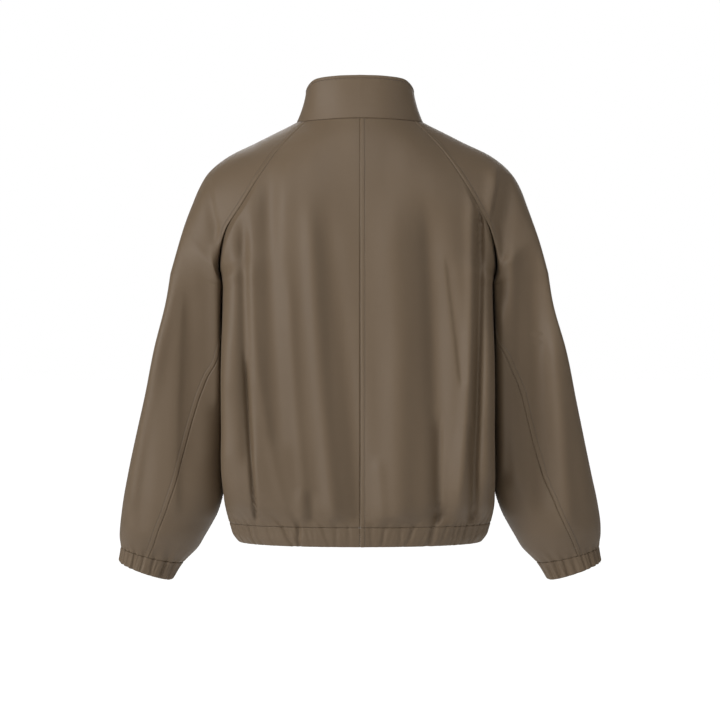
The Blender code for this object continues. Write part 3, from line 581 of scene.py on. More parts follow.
def body_cloth(face, side):
    """The body's form with its folds and gathers, for one side of the centre line."""
    folds = BACK_FOLDS + BACK_CREASES if face == BACK else FRONT_FOLDS + FRONT_CREASES
    gathers = (BACK_GATHERS if face == BACK else FRONT_GATHERS)[side]
    fine = irregular(34, 3 * side + face, width=1.8, depth=0.45, reach=7)
    settings = bpy.context.scene.jacket_cloth

    def form(level, across):
        return body_form(face, level, across)

    def cloth(level, across):
        flat = form(level, across)
        x, z = flat[..., 0], flat[..., 2]
        by_zip = eased(across, ZIP_CALM, ZIP_EASE) if face == FRONT else 1
        settled = eased(z, HEM_SEAM, HEM_EASE) * smooth((1 - across) / BODY_FOLD_EASE) * by_zip
        hung = folds_at(folds, side * x, z) + drape(flat, side, settings.drape / MM)
        folded = stacked(0, face * settled * hung * settings.folds, 0)
        gathered = creases_at(gathers + fine, across, z, HEM_SEAM, HEM_ARC)
        by_centre = by_zip if face == FRONT else smooth(across / CENTRE_EASE)
        by_seams = smooth((1 - across) / BODY_GATHER_EASE) * by_centre
        gathered = gathered * by_seams * settings.gathers
        return flat + folded + gathered[..., None] * normal(form, level, across, face) * LEVEL

    return cloth


def sleeve_cloth(side):
    """A sleeve's form with its folds and gathers."""
    settings = bpy.context.scene.jacket_cloth
    hidden = tuple(
        crease._replace(place=mix(HIDDEN_CUFF, 1, crease.place))
        for crease in irregular(10, 2.2 + side, width=2.8, depth=2.2, reach=11)
    )
    over_fine = irregular(41, 5.1 + side, width=1.5, depth=0.6, reach=6)
    under_fine = irregular(13, 3.9 + side, width=1.5, depth=0.6, reach=6)
    over_gathers = CUFF_GATHERS[side] + hidden + over_fine
    under_gathers = UNDERCUFF_GATHERS[side] + under_fine

    def cloth(level, around):
        level, around = np.broadcast_arrays(np.asarray(level, float), around)
        flat = sleeve_form(level, around)
        x, z = flat[..., 0], flat[..., 2]
        from_seam = np.minimum(around, 1 - around)
        by_underarm = smooth(from_seam / UNDERARM_EASE)
        by_shoulder = smooth(abs(around - 0.5) / SHOULDER_EASE)
        by_cuff = eased(level, CUFF_CALM, CUFF_EASE)
        back = folds_at(SLEEVE_BACK_FOLDS[side], x, z)
        front = folds_at(SLEEVE_FRONT_FOLDS, x, z)
        hung = by_underarm * by_shoulder * by_cuff * np.where(around < 0.5, back, -front)
        wander = by_underarm * by_cuff * drape(flat, side, settings.drape / MM)
        split = seam_share(level, side)
        outer_z = outer_height(level)
        under_share = around / np.maximum(split, 1e-6)
        over_share = (around - split) / (1 - split)
        gathered = np.where(
            around < split,
            creases_at(under_gathers, under_share, outer_z, CUFF_SEAM, UNDERSLEEVE_ARC),
            creases_at(over_gathers, over_share, outer_z, CUFF_SEAM, SLEEVE_ARC),
        )
        by_split = smooth(abs(around - split) / SLEEVE_GATHER_EASE)
        gathered = gathered * by_split * smooth(from_seam / SLEEVE_GATHER_EASE) * settings.gathers
        out = wander * settings.folds + gathered
        folded = stacked(0, hung * settings.folds, 0)
        return flat + folded + out[..., None] * normal(sleeve_form, level, around, 1) * LEVEL

    return cloth


# Panels of cloth


# How each edge of a piece rolls under, over what distance, and how far from it a row of stitches runs
Edge = namedtuple("Edge", "curl reach stitched")
RAW = Edge(0, 1, 0)
SEAM = Edge(0.6, 0.9, 0)
FOLDED = Edge(1.0, 1.2, 0)
TUCKED = Edge(0.9, 1.6, 0)
# How cloth rises from its seam over the turnings, and falls again at its row of stitches
WELT_RISE, WELT_FALL = 2, 1.2
STITCH_DIP, STITCH_DIP_WIDTH = 0.3, 0.8
# The puckers along a row of stitches: their height, pitch and width, how far from the seam they
# start, and how their pitch drifts
PUCKER, PUCKER_PITCH, PUCKER_WIDTH, PUCKER_START = 0.2, 6.5, 4, 3
PUCKER_DRIFT, PUCKER_DRIFT_REACH = 1.5, 23
# A shell's hidden inner face has one row of points for this many of the outer face
INNER_ROWS = 4


def stitched(distance):
    """A seam with a row of stitches this far from it."""
    return SEAM._replace(stitched=distance)


def distances(points, axis):
    """How far each point of a grid lies from the grid's first row or column, along the cloth."""
    steps = np.linalg.norm(np.diff(points, axis=axis), axis=-1)
    pad = ((1, 0), (0, 0)) if axis == 0 else ((0, 0), (1, 0))
    return np.pad(np.cumsum(steps, axis=axis), pad)


def normals_of(points, turn):
    """The direction straight out of the cloth at each point of a grid."""
    return turn * unit(np.cross(np.gradient(points, axis=0), np.gradient(points, axis=1)))


def seam_relief(edge, away, along):
    """How far cloth stands out beside a seam: it rolls into the seam, and lies raised over the turnings
    as far as its row of stitches, which draws it in and puckers it."""
    out = -edge.curl * bump(away, edge.reach)
    if edge.stitched:
        welt = bpy.context.scene.jacket_cloth.welt / MM
        by_stitches = away - edge.stitched
        drift = PUCKER_DRIFT * np.sin(along / PUCKER_DRIFT_REACH)
        puckers = np.sin(2 * math.pi * along / PUCKER_PITCH + drift) * smooth(away / PUCKER_START)
        out += welt * smooth(away / WELT_RISE) * smooth(-by_stitches / WELT_FALL)
        out -= STITCH_DIP * bump(by_stitches, STITCH_DIP_WIDTH)
        out += PUCKER * puckers * bump(by_stitches, PUCKER_WIDTH)
    return out


def spread(reach, coarse, fine, zone):
    """Shares of a stretch this long, close together near its ends, where the seams lie."""
    near = np.arange(0, zone, fine)
    middle = np.linspace(zone, reach - zone, max(2, round((reach - 2 * zone) / coarse)))
    return np.concatenate([near, middle, reach - near[::-1]]) / reach


def shell(name, outer, inner, flat, material):
    """A closed shell: the inner face has every INNER_ROWS-th row of the outer one."""
    rows, columns = outer.shape[:2]
    kept = np.unique(np.append(np.arange(0, rows, INNER_ROWS), rows - 1))
    inner = inner[kept]
    near = np.arange(rows * columns).reshape(rows, columns)
    far = rows * columns + np.arange(len(kept) * columns).reshape(len(kept), columns)

    def quads(grid):
        corners = grid[:-1, :-1], grid[:-1, 1:], grid[1:, 1:], grid[1:, :-1]
        return np.stack(corners, axis=-1).reshape(-1, 4)

    faces = quads(near).tolist() + quads(far)[:, ::-1].tolist()
    for row, turn in ((0, -1), (-1, 1)):
        rim = np.stack([near[row, :-1], near[row, 1:], far[row, 1:], far[row, :-1]], axis=-1)
        faces += rim[:, ::turn].tolist()
    for column, turn in ((0, 1), (-1, -1)):
        for k, (low, high) in enumerate(zip(kept, kept[1:])):
            rim = [*near[low : high + 1, column], far[k + 1, column], far[k, column]]
            faces.append([int(v) for v in rim[::turn]])
    mesh = bpy.data.meshes.new(name)
    mesh.from_pydata(np.vstack([outer.reshape(-1, 3), inner.reshape(-1, 3)]) * MM, [], faces)
    mesh.validate()
    corners = np.empty(len(mesh.loops), int)
    mesh.loops.foreach_get("vertex_index", corners)
    cut = np.vstack([flat.reshape(-1, 2), flat[kept].reshape(-1, 2)]) * MM
    mesh.uv_layers.new(name="Cloth").uv.foreach_set("vector", cut[corners].astype(np.float32).ravel())
    mesh.shade_smooth()
    mesh.materials.append(material)
    return mesh


def placed(name, mesh, node=None, body="jacket"):
    """A piece in a material slot that rides on a body, in place of a node if it has one."""
    piece = bpy.data.objects.new(name, mesh)
    bpy.context.scene.collection.objects.link(piece)
    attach(piece, body)
    if node:
        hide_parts(node)
    return piece


# What shows of each piece as it was cut, in metres: a rectangle round it, and its area in square metres
Cut = namedtuple("Cut", "width length area held")


def sew(node, points, turn, side, edges, thickness=None):
    """One cut piece: a shell on a grid of points with the relief of its seams, and its topstitching.
    Edges are those at the first column, the last column, the foot row and the top row."""
    over, up = distances(points, 1), distances(points, 0)
    away = (over, over[:, -1:] - over, up, up[-1:] - up)
    along = (up, up, over, over)
    relief = sum(seam_relief(edge, *place) for edge, *place in zip(edges, away, along))
    outer = points + relief[..., None] * normals_of(points, turn)
    facing = normals_of(outer, turn)
    inner = outer - (thickness or bpy.context.scene.jacket_cloth.thickness / MM) * facing
    flat = np.stack([over * side, up], axis=-1)
    mesh = shell(node, on_side(outer, side), on_side(inner, side), flat, satin_cloth())
    if turn * side > 0:
        mesh.flip_normals()
    piece = placed(f"{node}_cloth", mesh, node)
    lines = [
        stitch_line(outer, facing, place, edge.stitched, k < 2)
        for k, (edge, place) in enumerate(zip(edges, away))
        if edge.stitched
    ]
    if lines:
        mirror = np.array((side, 1, 1))
        rows = [(on_side(line, side), out * mirror) for line, out in lines]
        placed(f"{node}_topstitching", stitches(node, rows))


# Topstitching


def stitch_line(points, facing, away, distance, by_row):
    """Where a row of stitches runs: the points this far from an edge, and the way out there."""
    if not by_row:
        points, facing, away = points.swapaxes(0, 1), facing.swapaxes(0, 1), away.T
    line, out = [], []
    for row, normals, apart in zip(points, facing, away):
        if apart.max() < distance:
            continue
        order = np.argsort(apart)
        apart, row, normals = apart[order], row[order], normals[order]
        line.append([np.interp(distance, apart, row[:, k]) for k in range(3)])
        out.append([np.interp(distance, apart, normals[:, k]) for k in range(3)])
    return np.array(line), unit(np.array(out))


STITCH_SIDES = 5
# A stitch's rings from end to end, in radii of the thread: how thick it is, and how high it lies
STITCH_GIRTH = np.array((0.45, 1, 1, 0.45))
STITCH_HEIGHT = np.array((-0.6, 0.75, 0.75, -0.6)) + 0.3


def along_line(places, at, values):
    """Vectors given along a line, read at other places on it."""
    return np.stack([np.interp(places, at, values[:, k]) for k in range(3)], axis=-1)


def lofted(name, pieces, material):
    """A mesh of closed pieces that are alike, each a stack of rings of points."""
    count, rings, corners = pieces.shape[:3]
    ring = np.arange(corners)
    after = np.roll(ring, -1)
    faces = []
    for base in range(0, count * rings * corners, rings * corners):
        last = base + corners * (rings - 1)
        for low in range(base, last, corners):
            high = low + corners
            faces += np.stack([low + ring, low + after, high + after, high + ring], axis=-1).tolist()
        faces.append((base + ring[::-1]).tolist())
        faces.append((last + ring).tolist())
    mesh = bpy.data.meshes.new(name)
    mesh.from_pydata(pieces.reshape(-1, 3) * MM, [], faces)
    mesh.materials.append(material)
    return mesh


def stitches(name, rows):
    """Rows of stitches: each a short thread that comes up, lies on the cloth and goes in again."""
    settings = bpy.context.scene.jacket_cloth
    size, gap, radius = settings.stitch / MM, settings.stitch_gap / MM, settings.thread / 2 / MM
    share = np.linspace(0, 1, len(STITCH_GIRTH))
    girth, height = radius * STITCH_GIRTH, radius * STITCH_HEIGHT
    turn = np.linspace(0, 2 * math.pi, STITCH_SIDES, endpoint=False)[:, None]
    made = []
    for line, out in rows:
        at = distances(line[:, None], 0)[:, 0]
        count = int((at[-1] - gap) / (size + gap))
        starts = gap + np.arange(count) * (size + gap)
        places = starts[:, None] + size * share
        centre = along_line(places, at, line)
        normals = unit(along_line(places, at, out))
        along = unit(centre[:, -1:] - centre[:, :1])
        aside = unit(np.cross(along, normals))
        centre = centre + height[:, None] * normals
        circle = np.cos(turn) * aside[:, :, None] + np.sin(turn) * normals[:, :, None]
        made.append(centre[:, :, None] + girth[:, None, None] * circle)
    mesh = lofted(f"{name}_topstitching", np.concatenate(made), topstitch_thread())
    mesh.shade_smooth()
    return mesh


# The cut pieces


# How the forms are searched for a distance from the centre plane: from where to where, and whether
# they come nearer the plane (-1) or go further from it (1)
BODY_SEARCH = (0, 0.4, 1)
COLLAR_SEARCH = (0.6, 1, -1)


def across_at(points, levels, x, start, end, turn):
    """How far across a form it is this far from the centre plane, at each level."""
    low, high = np.full(levels.shape, float(start)), np.full(levels.shape, float(end))
    for _ in range(30):
        middle = (low + high) / 2
        short = turn * points(levels, middle)[..., 0] < turn * x
        low, high = np.where(short, middle, low), np.where(short, high, middle)
    return middle


def inset(points, level, across, gap):
    """The change of across that moves a point this far from a panel's edge."""
    over = points(level, across + STEP) - points(level, across - STEP)
    return gap * 2 * STEP / np.linalg.norm(over, axis=-1)


def grid(points, levels, first, last, shares):
    """Points between two lines that run up a form."""
    first, last = (np.broadcast_to(end, levels.shape)[:, None] for end in (first, last))
    return points(levels[:, None], mix(first, last, shares))


HALF_GAP = SEAM_GAP / 2
ROW_PITCH = 3.0


def rows_above(seam, gathered, fine, plain, top):
    """Heights of rows of points: close together in the gathers above a seam, then plain to the top."""
    close = seam + HALF_GAP + np.arange(0, gathered, fine)
    return np.concatenate([close, np.arange(plain, top, ROW_PITCH)])


def rows_below(bottom, seam, coarse, fine, zone):
    """Heights of rows of points on a gathered band below its seam."""
    height = seam - HALF_GAP - bottom
    return bottom + spread(height, coarse, fine, zone) * height


# The yoke's closest rows are left out where it goes on from the torso
YOKE_ROWS = 1 + spread(300, coarse=2.6, fine=0.6, zone=4)[8:]
TORSO_ROWS = body_level(rows_above(HEM_SEAM, gathered=24, fine=1.2, plain=-574, top=UNDERARM))
BODY_ROWS = np.concatenate([TORSO_ROWS, YOKE_ROWS])
BAND_ROWS = body_level(rows_below(BAND_BOTTOM, HEM_SEAM, coarse=1.4, fine=0.6, zone=4))
BODY_COLUMNS = {
    BACK: spread(HEM_ARC, coarse=1.7, fine=0.7, zone=10),
    FRONT: spread(HEM_ARC, coarse=2.3, fine=0.8, zone=9),
}
# How far each row of topstitching runs from its seam
FRONT_STITCH, CENTRE_STITCH, RAGLAN_STITCH, COLLAR_STITCH = 6, 7, 7, 5


def make_body(band):
    """The back and front panels, or the quarters of the hem band below them."""
    for face, word in ((BACK, "back"), (FRONT, "front")):
        for side, hand in HANDS:
            cloth = body_cloth(face, side)

            def form(level, across):
                return body_form(face, level, across)

            rows = BAND_ROWS if band else BODY_ROWS
            first = across_at(form, rows, HALF_GAP if face == BACK else FRONT_EDGE, *BODY_SEARCH)
            last = 1 - inset(form, rows, np.ones(rows.shape), HALF_GAP)
            points = grid(cloth, rows, first, last, BODY_COLUMNS[face])
            centre = stitched(FRONT_STITCH) if face == FRONT else SEAM
            if face == BACK and side == RIGHT:
                centre = stitched(CENTRE_STITCH)
            edges = (centre, SEAM, FOLDED if band else TUCKED, SEAM)
            if band:
                node, kind, hangs_from = f"hem_band_{word}_{hand}", "hem_band", [f"{word}_{hand}"]
            else:
                node, kind, hangs_from = f"{word}_{hand}", word, [f"sleeve_{hand}", "collar"]
            sew(node, points, face, side, edges)


ARM_ROWS = sleeve_level(rows_above(CUFF_SEAM, gathered=22, fine=1.1, plain=-616, top=ARM_TOP))
CAP_ROWS = 1 + spread(300, coarse=2.8, fine=0.6, zone=4)
CUFF_ROWS = sleeve_level(rows_below(CUFF_BOTTOM, CUFF_SEAM, coarse=1.1, fine=0.5, zone=3))
SLEEVE_COLUMNS = spread(400, coarse=2.0, fine=0.8, zone=12)
UNDERSLEEVE_COLUMNS = spread(90, coarse=1.8, fine=0.8, zone=4)
CUFF_COLUMNS = spread(240, coarse=1.0, fine=0.8, zone=3)


def make_sleeve(side, hand):
    """The sleeve with its raglan cap, and the undersleeve behind the back seam."""
    cloth = sleeve_cloth(side)
    rows = np.concatenate([ARM_ROWS, CAP_ROWS])
    split = np.where(rows < 1, seam_share(rows, side), 0)
    aside = inset(sleeve_form, rows, np.full(rows.shape, STEP), HALF_GAP)
    points = grid(cloth, rows, split + aside, 1 - aside, SLEEVE_COLUMNS)
    edges = (stitched(RAGLAN_STITCH), stitched(RAGLAN_STITCH), TUCKED, SEAM)
    sew(f"sleeve_{hand}", points, 1, side, edges)
    split = seam_share(ARM_ROWS, side)
    aside = inset(sleeve_form, ARM_ROWS, split, HALF_GAP)
    points = grid(cloth, ARM_ROWS, aside, split - aside, UNDERSLEEVE_COLUMNS)
    edges = (SEAM, SEAM, TUCKED, RAW)
    sew(f"undersleeve_{hand}", points, 1, side, edges)


def make_cuff(side, hand):
    cloth = sleeve_cloth(side)
    aside = inset(sleeve_form, CUFF_ROWS, np.full(CUFF_ROWS.shape, STEP), HALF_GAP)
    points = grid(cloth, CUFF_ROWS, aside, 1 - aside, CUFF_COLUMNS)
    sew(f"cuff_{hand}", points, 1, side, (SEAM, SEAM, FOLDED, SEAM))


# The collar is two layers thick. Its own unevenness is slight, and fades out by the zip
COLLAR_CLOTH = 2.5
COLLAR_RISES = spread(64, coarse=1.8, fine=0.6, zone=8)
COLLAR_COLUMNS = spread(470, coarse=1.9, fine=0.7, zone=9)
COLLAR_DRAPE, COLLAR_EASE = 1.0, 0.12
# Its waves are this much shorter than the body's, in x, y and z
COLLAR_WAVES = np.array((1, 1, 2.5))


def make_collar():
    last = across_at(collar_form, COLLAR_RISES, FRONT_EDGE, *COLLAR_SEARCH)[:, None]
    along = last * (2 * COLLAR_COLUMNS - 1)
    side = np.where(along < 0, -1, 1)[..., None]
    mirror = np.concatenate([side, np.ones_like(side), np.ones_like(side)], axis=-1)
    flat = collar_form(COLLAR_RISES[:, None], abs(along)) * mirror
    wavy = drape(flat * COLLAR_WAVES, LEFT, COLLAR_DRAPE) * smooth((1 - abs(along)) / COLLAR_EASE)
    points = flat + wavy[..., None] * normals_of(flat, 1)
    by_zip, top = stitched(FRONT_STITCH), FOLDED._replace(stitched=COLLAR_STITCH)
    edges = (by_zip, by_zip, SEAM, top)
    sew("collar", points, 1, 1, edges, thickness=COLLAR_CLOTH)


# The zip


TAPE_NEAR, TAPE_FAR = 2.9, 14
TAPE_GAP, TAPE_THICKNESS = 0.5, 1.0
TAPE_COLUMNS, TAPE_COLLAR_ROWS = 12, 24
# The tape leaves out this many of the body's top rows, and goes on between these rises on the collar
TAPE_LEFT_OUT, TAPE_RISE, TAPE_END = 6, 0.04, 0.98
# From which level, and over how many, the tape moves back to lie behind the collar's thicker cloth
TAPE_BACK_FROM, TAPE_BACK_OVER = 1.75, 0.2
# The levels of the zip's foot, and of the gaps in its middle line at the underarm and the neck seam
ZIP_FOOT, LINE_GAP, COLLAR_FOOT = 0.035, 0.02, 0.03
TORSO_POINTS, YOKE_POINTS, COLLAR_POINTS = 160, 80, 20
CLOTH_WALL = 1.5
# The distance between the points of the zip's middle line
LINE_STEP = 0.5
CHAIN_FACE, CHAIN_BACK = -0.6, 1.6
SLIDER_RISE = 0.78
PLATE_WIDTH, PLATE_HEIGHT, PLATE_CORNER, PLATE_BEVEL = 9, 12, 1.8, 0.35
PLATE_FACE, PLATE_SEAT = 2.5, 0.9
POST_WIDTH, POST_HEIGHT, POST_CORNER, POST_SINK, POST_BEVEL, POST_Z = 2.4, 3.2, 0.6, 0.6, 0.1, 4
FLANGE_HEIGHT, FLANGE_CORNER, FLANGE_THICKNESS, FLANGE_BEVEL = 7.44, 0.5, 0.7, 0.15
FLANGE_OVERHANG, FLANGE_INSET, FLANGE_SHIFT, FLANGE_Z = 1.6, 0.9, 0.5, 1
CROWN_WIDTH, CROWN_HALF_SPAN, CROWN_THICKNESS, CROWN_HEADROOM = 2.4, 3.2, 1.0, 3.0
CROWN_CORNER, CROWN_HOLE_CORNER, CROWN_BEVEL = 2.2, 1.4, 0.3
TAB_WIDTH, TAB_LENGTH, TAB_THICKNESS, TAB_CORNER, TAB_BEVEL = 8, 32, 1.4, 1.6, 0.3
TAB_WINDOW_WIDTH, TAB_WINDOW_LENGTH, TAB_WINDOW_CORNER = 4.4, 5.8, 1
# The thin panel in the tab's lower part: how far in from the tab's sides, above its end, its corners,
# how far it reaches under the rim, and its bevel
PANEL_INSET, PANEL_FOOT, PANEL_CORNER, PANEL_LAP, PANEL_BEVEL = 2.6, 1.4, 1.2, 0.4, 0.1


def front_form(level, across):
    return body_form(FRONT, level, across)


def zip_tape(side, hand):
    """The woven tape behind one front edge, from the hem to the top of the collar."""
    body_rows = np.concatenate([BAND_ROWS, BODY_ROWS[:-TAPE_LEFT_OUT]])
    collar_rows = np.linspace(TAPE_RISE, TAPE_END, TAPE_COLLAR_ROWS)
    thicker = mix(CLOTH_WALL, COLLAR_CLOTH, eased(body_rows, TAPE_BACK_FROM, TAPE_BACK_OVER))
    faces, backs = [], []
    for rows, points, turn, search, cloth in (
        (body_rows, front_form, FRONT, BODY_SEARCH, thicker),
        (collar_rows, collar_form, 1, COLLAR_SEARCH, np.full(TAPE_COLLAR_ROWS, COLLAR_CLOTH)),
    ):
        reach = np.linspace(TAPE_NEAR, TAPE_FAR, TAPE_COLUMNS)
        across = np.column_stack([across_at(points, rows, x, *search) for x in reach])
        inwards = -normal(points, rows[:, None], across, turn)
        faces.append(points(rows[:, None], across) + (cloth + TAPE_GAP)[:, None, None] * inwards)
        backs.append(faces[-1] + TAPE_THICKNESS * inwards)
    face, back = np.vstack(faces), np.vstack(backs)
    mirror = np.array((side, 1, 1))
    flat = np.stack([distances(face, 1), distances(face, 0)], axis=-1)
    node = f"zip_tape_{hand}"
    mesh = shell(node, face * mirror, back * mirror, flat, zip_tape_weave())
    if side > 0:
        mesh.flip_normals()
    placed(f"{node}_cloth", mesh, node)


def zip_line(top):
    """The zip's middle up to this rise on the collar, and the way up and out at each of its points."""
    torso_rows = np.linspace(ZIP_FOOT, 1, TORSO_POINTS)
    yoke_rows = np.linspace(1 + LINE_GAP, 2 - LINE_GAP, YOKE_POINTS)
    on_body = front_form(np.concatenate([torso_rows, yoke_rows]), np.zeros(TORSO_POINTS + YOKE_POINTS))
    on_collar = collar_form(np.linspace(COLLAR_FOOT, top, COLLAR_POINTS), np.ones(COLLAR_POINTS))
    line = np.vstack([on_body, on_collar])
    at = distances(line[:, None], 0)[:, 0]
    points = along_line(np.arange(0, at[-1], LINE_STEP), at, line)
    up = unit(np.gradient(points, axis=0))
    return points, up, np.cross(up, np.array((-1.0, 0, 0)))


# A tooth's upper half in x and z, from the tape to its head past the zip's middle
TOOTH = ((2.5, -0.5), (1.15, -0.5), (0.8, -0.3), (0.5, -0.62), (-0.35, -0.62), (-0.7, -0.3))
TOOTH_MIDDLE, TOOTH_RADIUS, TOOTH_CHAMFER = np.array((0.9, 0)), 1.2, 0.25


def zip_teeth(side, hand):
    """One row of teeth, each clenched on the tape's edge with its head past the middle."""
    pitch = bpy.context.scene.jacket_zip.tooth_pitch / MM
    points, up, out = zip_line(SLIDER_RISE)
    starts = np.arange(0 if side == LEFT else pitch / 2, LINE_STEP * (len(points) - 2), pitch)
    spots = (starts / LINE_STEP).astype(int)
    outline = np.array(TOOTH + tuple((x, -z) for x, z in reversed(TOOTH)))
    inner = TOOTH_MIDDLE + (outline - TOOTH_MIDDLE) * (1 - TOOTH_CHAMFER / TOOTH_RADIUS)
    rings = np.array((inner, outline, outline, inner))
    depths = (CHAIN_FACE, CHAIN_FACE + TOOTH_CHAMFER, CHAIN_BACK - TOOTH_CHAMFER, CHAIN_BACK)
    depths = -np.array(depths)[:, None, None]
    here, rise, forward = (vectors[spots][:, None, None] for vectors in (points, up, out))
    aside = rings[..., :1] * np.array((side, 0, 0))
    teeth = here + aside + rings[..., 1:] * rise + depths * forward
    name = f"zip_teeth_{hand}"
    placed(name, lofted(name, teeth, zip_metal()), "zip_chain")


def rounded(width, height, corner, centre=(0, 0), taper=1.0, steps=5):
    """The outline of a rectangle with round corners; a taper narrows its lower end."""
    points = []
    for quarter, (sign_x, sign_y) in enumerate(((1, 1), (-1, 1), (-1, -1), (1, -1))):
        half = width / 2 * (taper if sign_y < 0 else 1)
        for k in range(steps):
            angle = math.pi / 2 * (quarter + k / (steps - 1))
            points.append((
                centre[0] + sign_x * (half - corner) + corner * math.cos(angle),
                centre[1] + sign_y * (height / 2 - corner) + corner * math.sin(angle),
            ))
    return points


def stamped(name, outlines, thickness, bevel, place):
    """A flat metal piece with rounded edges: the first outline less the others, placed by a matrix."""
    curve = bpy.data.curves.new(name, "CURVE")
    curve.dimensions = "2D"
    curve.fill_mode = "BOTH"
    curve.extrude = thickness / 2 - bevel
    curve.bevel_depth = bevel
    curve.bevel_resolution = 2
    curve.offset = -bevel
    for outline in outlines:
        spline = curve.splines.new("POLY")
        spline.points.add(len(outline) - 1)
        spline.use_cyclic_u = True
        for point, (x, y) in zip(spline.points, outline):
            point.co = (x, y, 0, 1)
    holder = bpy.data.objects.new(name, curve)
    bpy.context.scene.collection.objects.link(holder)
    bpy.context.view_layer.update()
    mesh = bpy.data.meshes.new_from_object(holder.evaluated_get(bpy.context.evaluated_depsgraph_get()))
    bpy.data.objects.remove(holder)
    bpy.data.curves.remove(curve)
    mesh.transform(place)
    return mesh


def joined(name, meshes, place, body, node):
    """Meshes as one metal piece. They are in millimetres until their place puts them in the scene."""
    verts, faces = [], []
    for mesh in meshes:
        base = len(verts)
        verts += [vertex.co[:] for vertex in mesh.vertices]
        faces += [[base + v for v in polygon.vertices] for polygon in mesh.polygons]
        bpy.data.meshes.remove(mesh)
    made = bpy.data.meshes.new(name)
    made.from_pydata(verts, [], faces)
    made.transform(place @ Matrix.Scale(MM, 4))
    made.shade_smooth()
    made.set_sharp_from_angle(angle=math.radians(40))
    made.materials.append(zip_metal())
    placed(name, made, node, body)


def line_place(point, above):
    """The frame on the zip's line whose Z axis runs up the line."""
    lean = math.atan2(above[1] - point[1], above[2] - point[2])
    return Matrix.Translation(Vector(point) * MM) @ Matrix.Rotation(-lean, 4, "X")


# Turns an outline drawn in x and y so that it stands in x and z, facing -Y or +X
FACING = Matrix.Rotation(math.radians(90), 4, "X")
SIDEWAYS = Matrix.Rotation(math.radians(90), 4, "Z") @ FACING


def at(x, y, z):
    return Matrix.Translation((x, y, z))


def zip_slider():
    """The slider's two plates with their post and side flanges, and the crown that holds the tab."""
    low, high = collar_form(np.array((SLIDER_RISE, 1)), np.ones(2))
    plate = PLATE_FACE - PLATE_SEAT
    tape_side = COLLAR_CLOTH + 2.5 * TAPE_GAP + TAPE_THICKNESS
    outline = rounded(PLATE_WIDTH, PLATE_HEIGHT, PLATE_CORNER, taper=0.8)
    reach = CROWN_HEADROOM + CROWN_THICKNESS
    span = 2 * CROWN_HALF_SPAN + 2 * CROWN_THICKNESS
    arch = rounded(2 * reach, span, CROWN_CORNER)
    hole = rounded(2 * CROWN_HEADROOM, 2 * CROWN_HALF_SPAN, CROWN_HOLE_CORNER)
    crown = [(x, y) for x, y in arch if x <= 0] + [(x, y) for x, y in reversed(hole) if x <= 0]
    post = rounded(POST_WIDTH, POST_HEIGHT, POST_CORNER)
    face_place = at(0, -(PLATE_FACE + PLATE_SEAT) / 2, 0) @ FACING
    post_place = at(0, (tape_side - PLATE_SEAT) / 2, POST_Z) @ FACING
    meshes = [
        stamped("face", [outline], plate, PLATE_BEVEL, face_place),
        stamped("back", [outline], plate, PLATE_BEVEL, at(0, tape_side + plate / 2, 0) @ FACING),
        stamped("post", [post], tape_side + PLATE_SEAT + POST_SINK, POST_BEVEL, post_place),
        stamped("crown", [crown], CROWN_WIDTH, CROWN_BEVEL, at(0, -PLATE_FACE, 0) @ SIDEWAYS),
    ]
    flange = rounded(PLATE_SEAT + FLANGE_OVERHANG, FLANGE_HEIGHT, FLANGE_CORNER)
    for side in (LEFT, RIGHT):
        x, y = side * (PLATE_WIDTH / 2 - FLANGE_INSET), FLANGE_SHIFT - PLATE_SEAT / 2
        place = at(x, y, FLANGE_Z) @ SIDEWAYS
        meshes.append(stamped("flange", [flange], FLANGE_THICKNESS, FLANGE_BEVEL, place))
    joined("zip_slider_body", meshes, line_place(low, high), "jacket", "zip_slider")


def zip_pull_tab():
    """The pull tab: a rounded frame with a window for the crown and a thinner middle."""
    low, high = collar_form(np.array((SLIDER_RISE, 1)), np.ones(2))
    hinge = line_place(low, high) @ at(0, -(PLATE_FACE + CROWN_HEADROOM / 2) * MM, 0)
    bar = TAB_THICKNESS / 2
    rim = rounded(TAB_WIDTH, TAB_LENGTH, TAB_CORNER, (0, bar - TAB_LENGTH / 2))
    window_centre = (0, -bar - TAB_WINDOW_LENGTH / 2)
    window = rounded(TAB_WINDOW_WIDTH, TAB_WINDOW_LENGTH, TAB_WINDOW_CORNER, window_centre)
    width, height = TAB_WIDTH - PANEL_INSET, TAB_LENGTH - TAB_WINDOW_LENGTH - 5 * bar
    centre = (0, bar - TAB_LENGTH + PANEL_FOOT + height / 2)
    opening = rounded(width, height, PANEL_CORNER, centre)
    filling = rounded(width + PANEL_LAP, height + PANEL_LAP, PANEL_CORNER, centre)
    meshes = [
        stamped("rim", [rim, window, opening], TAB_THICKNESS, TAB_BEVEL, FACING),
        stamped("panel", [filling], TAB_THICKNESS / 2, PANEL_BEVEL, FACING),
    ]
    joined("zip_pull_tab_metal", meshes, hinge, "pull_tab", "zip_pull_tab")


def zip_stop_box():
    """The stop box at the foot of the zip, with the pin's collar above it."""
    low, high = body_form(FRONT, np.array((0.003, 0.02)), np.zeros(2))
    outline = rounded(2 * FRONT_EDGE - 0.8, 9, 1.2, (0, 5))
    meshes = [
        stamped("box", [outline], 3, 0.45, FACING),
        stamped("rib", [rounded(6.2, 1.2, 0.5, (0, 7.4))], 3.5, 0.3, FACING),
    ]
    joined("zip_stop_box_metal", meshes, line_place(low, high), "jacket", "zip_stop_box")


# Materials


TAPE_YARNS = 1300.0
# How much of the cloth's unevenness is slow clouds, how much of its colour is the yarn on top, and how
# far its slubs stand out for the height of a yarn
CLOUD_SHARE, WARP_SHARE, SLUB_DEPTH = 0.55, 0.35, 1.2
# How strongly the floor glows on the jacket, where the camera doesn't see the floor itself
FLOOR_DIM = 0.1


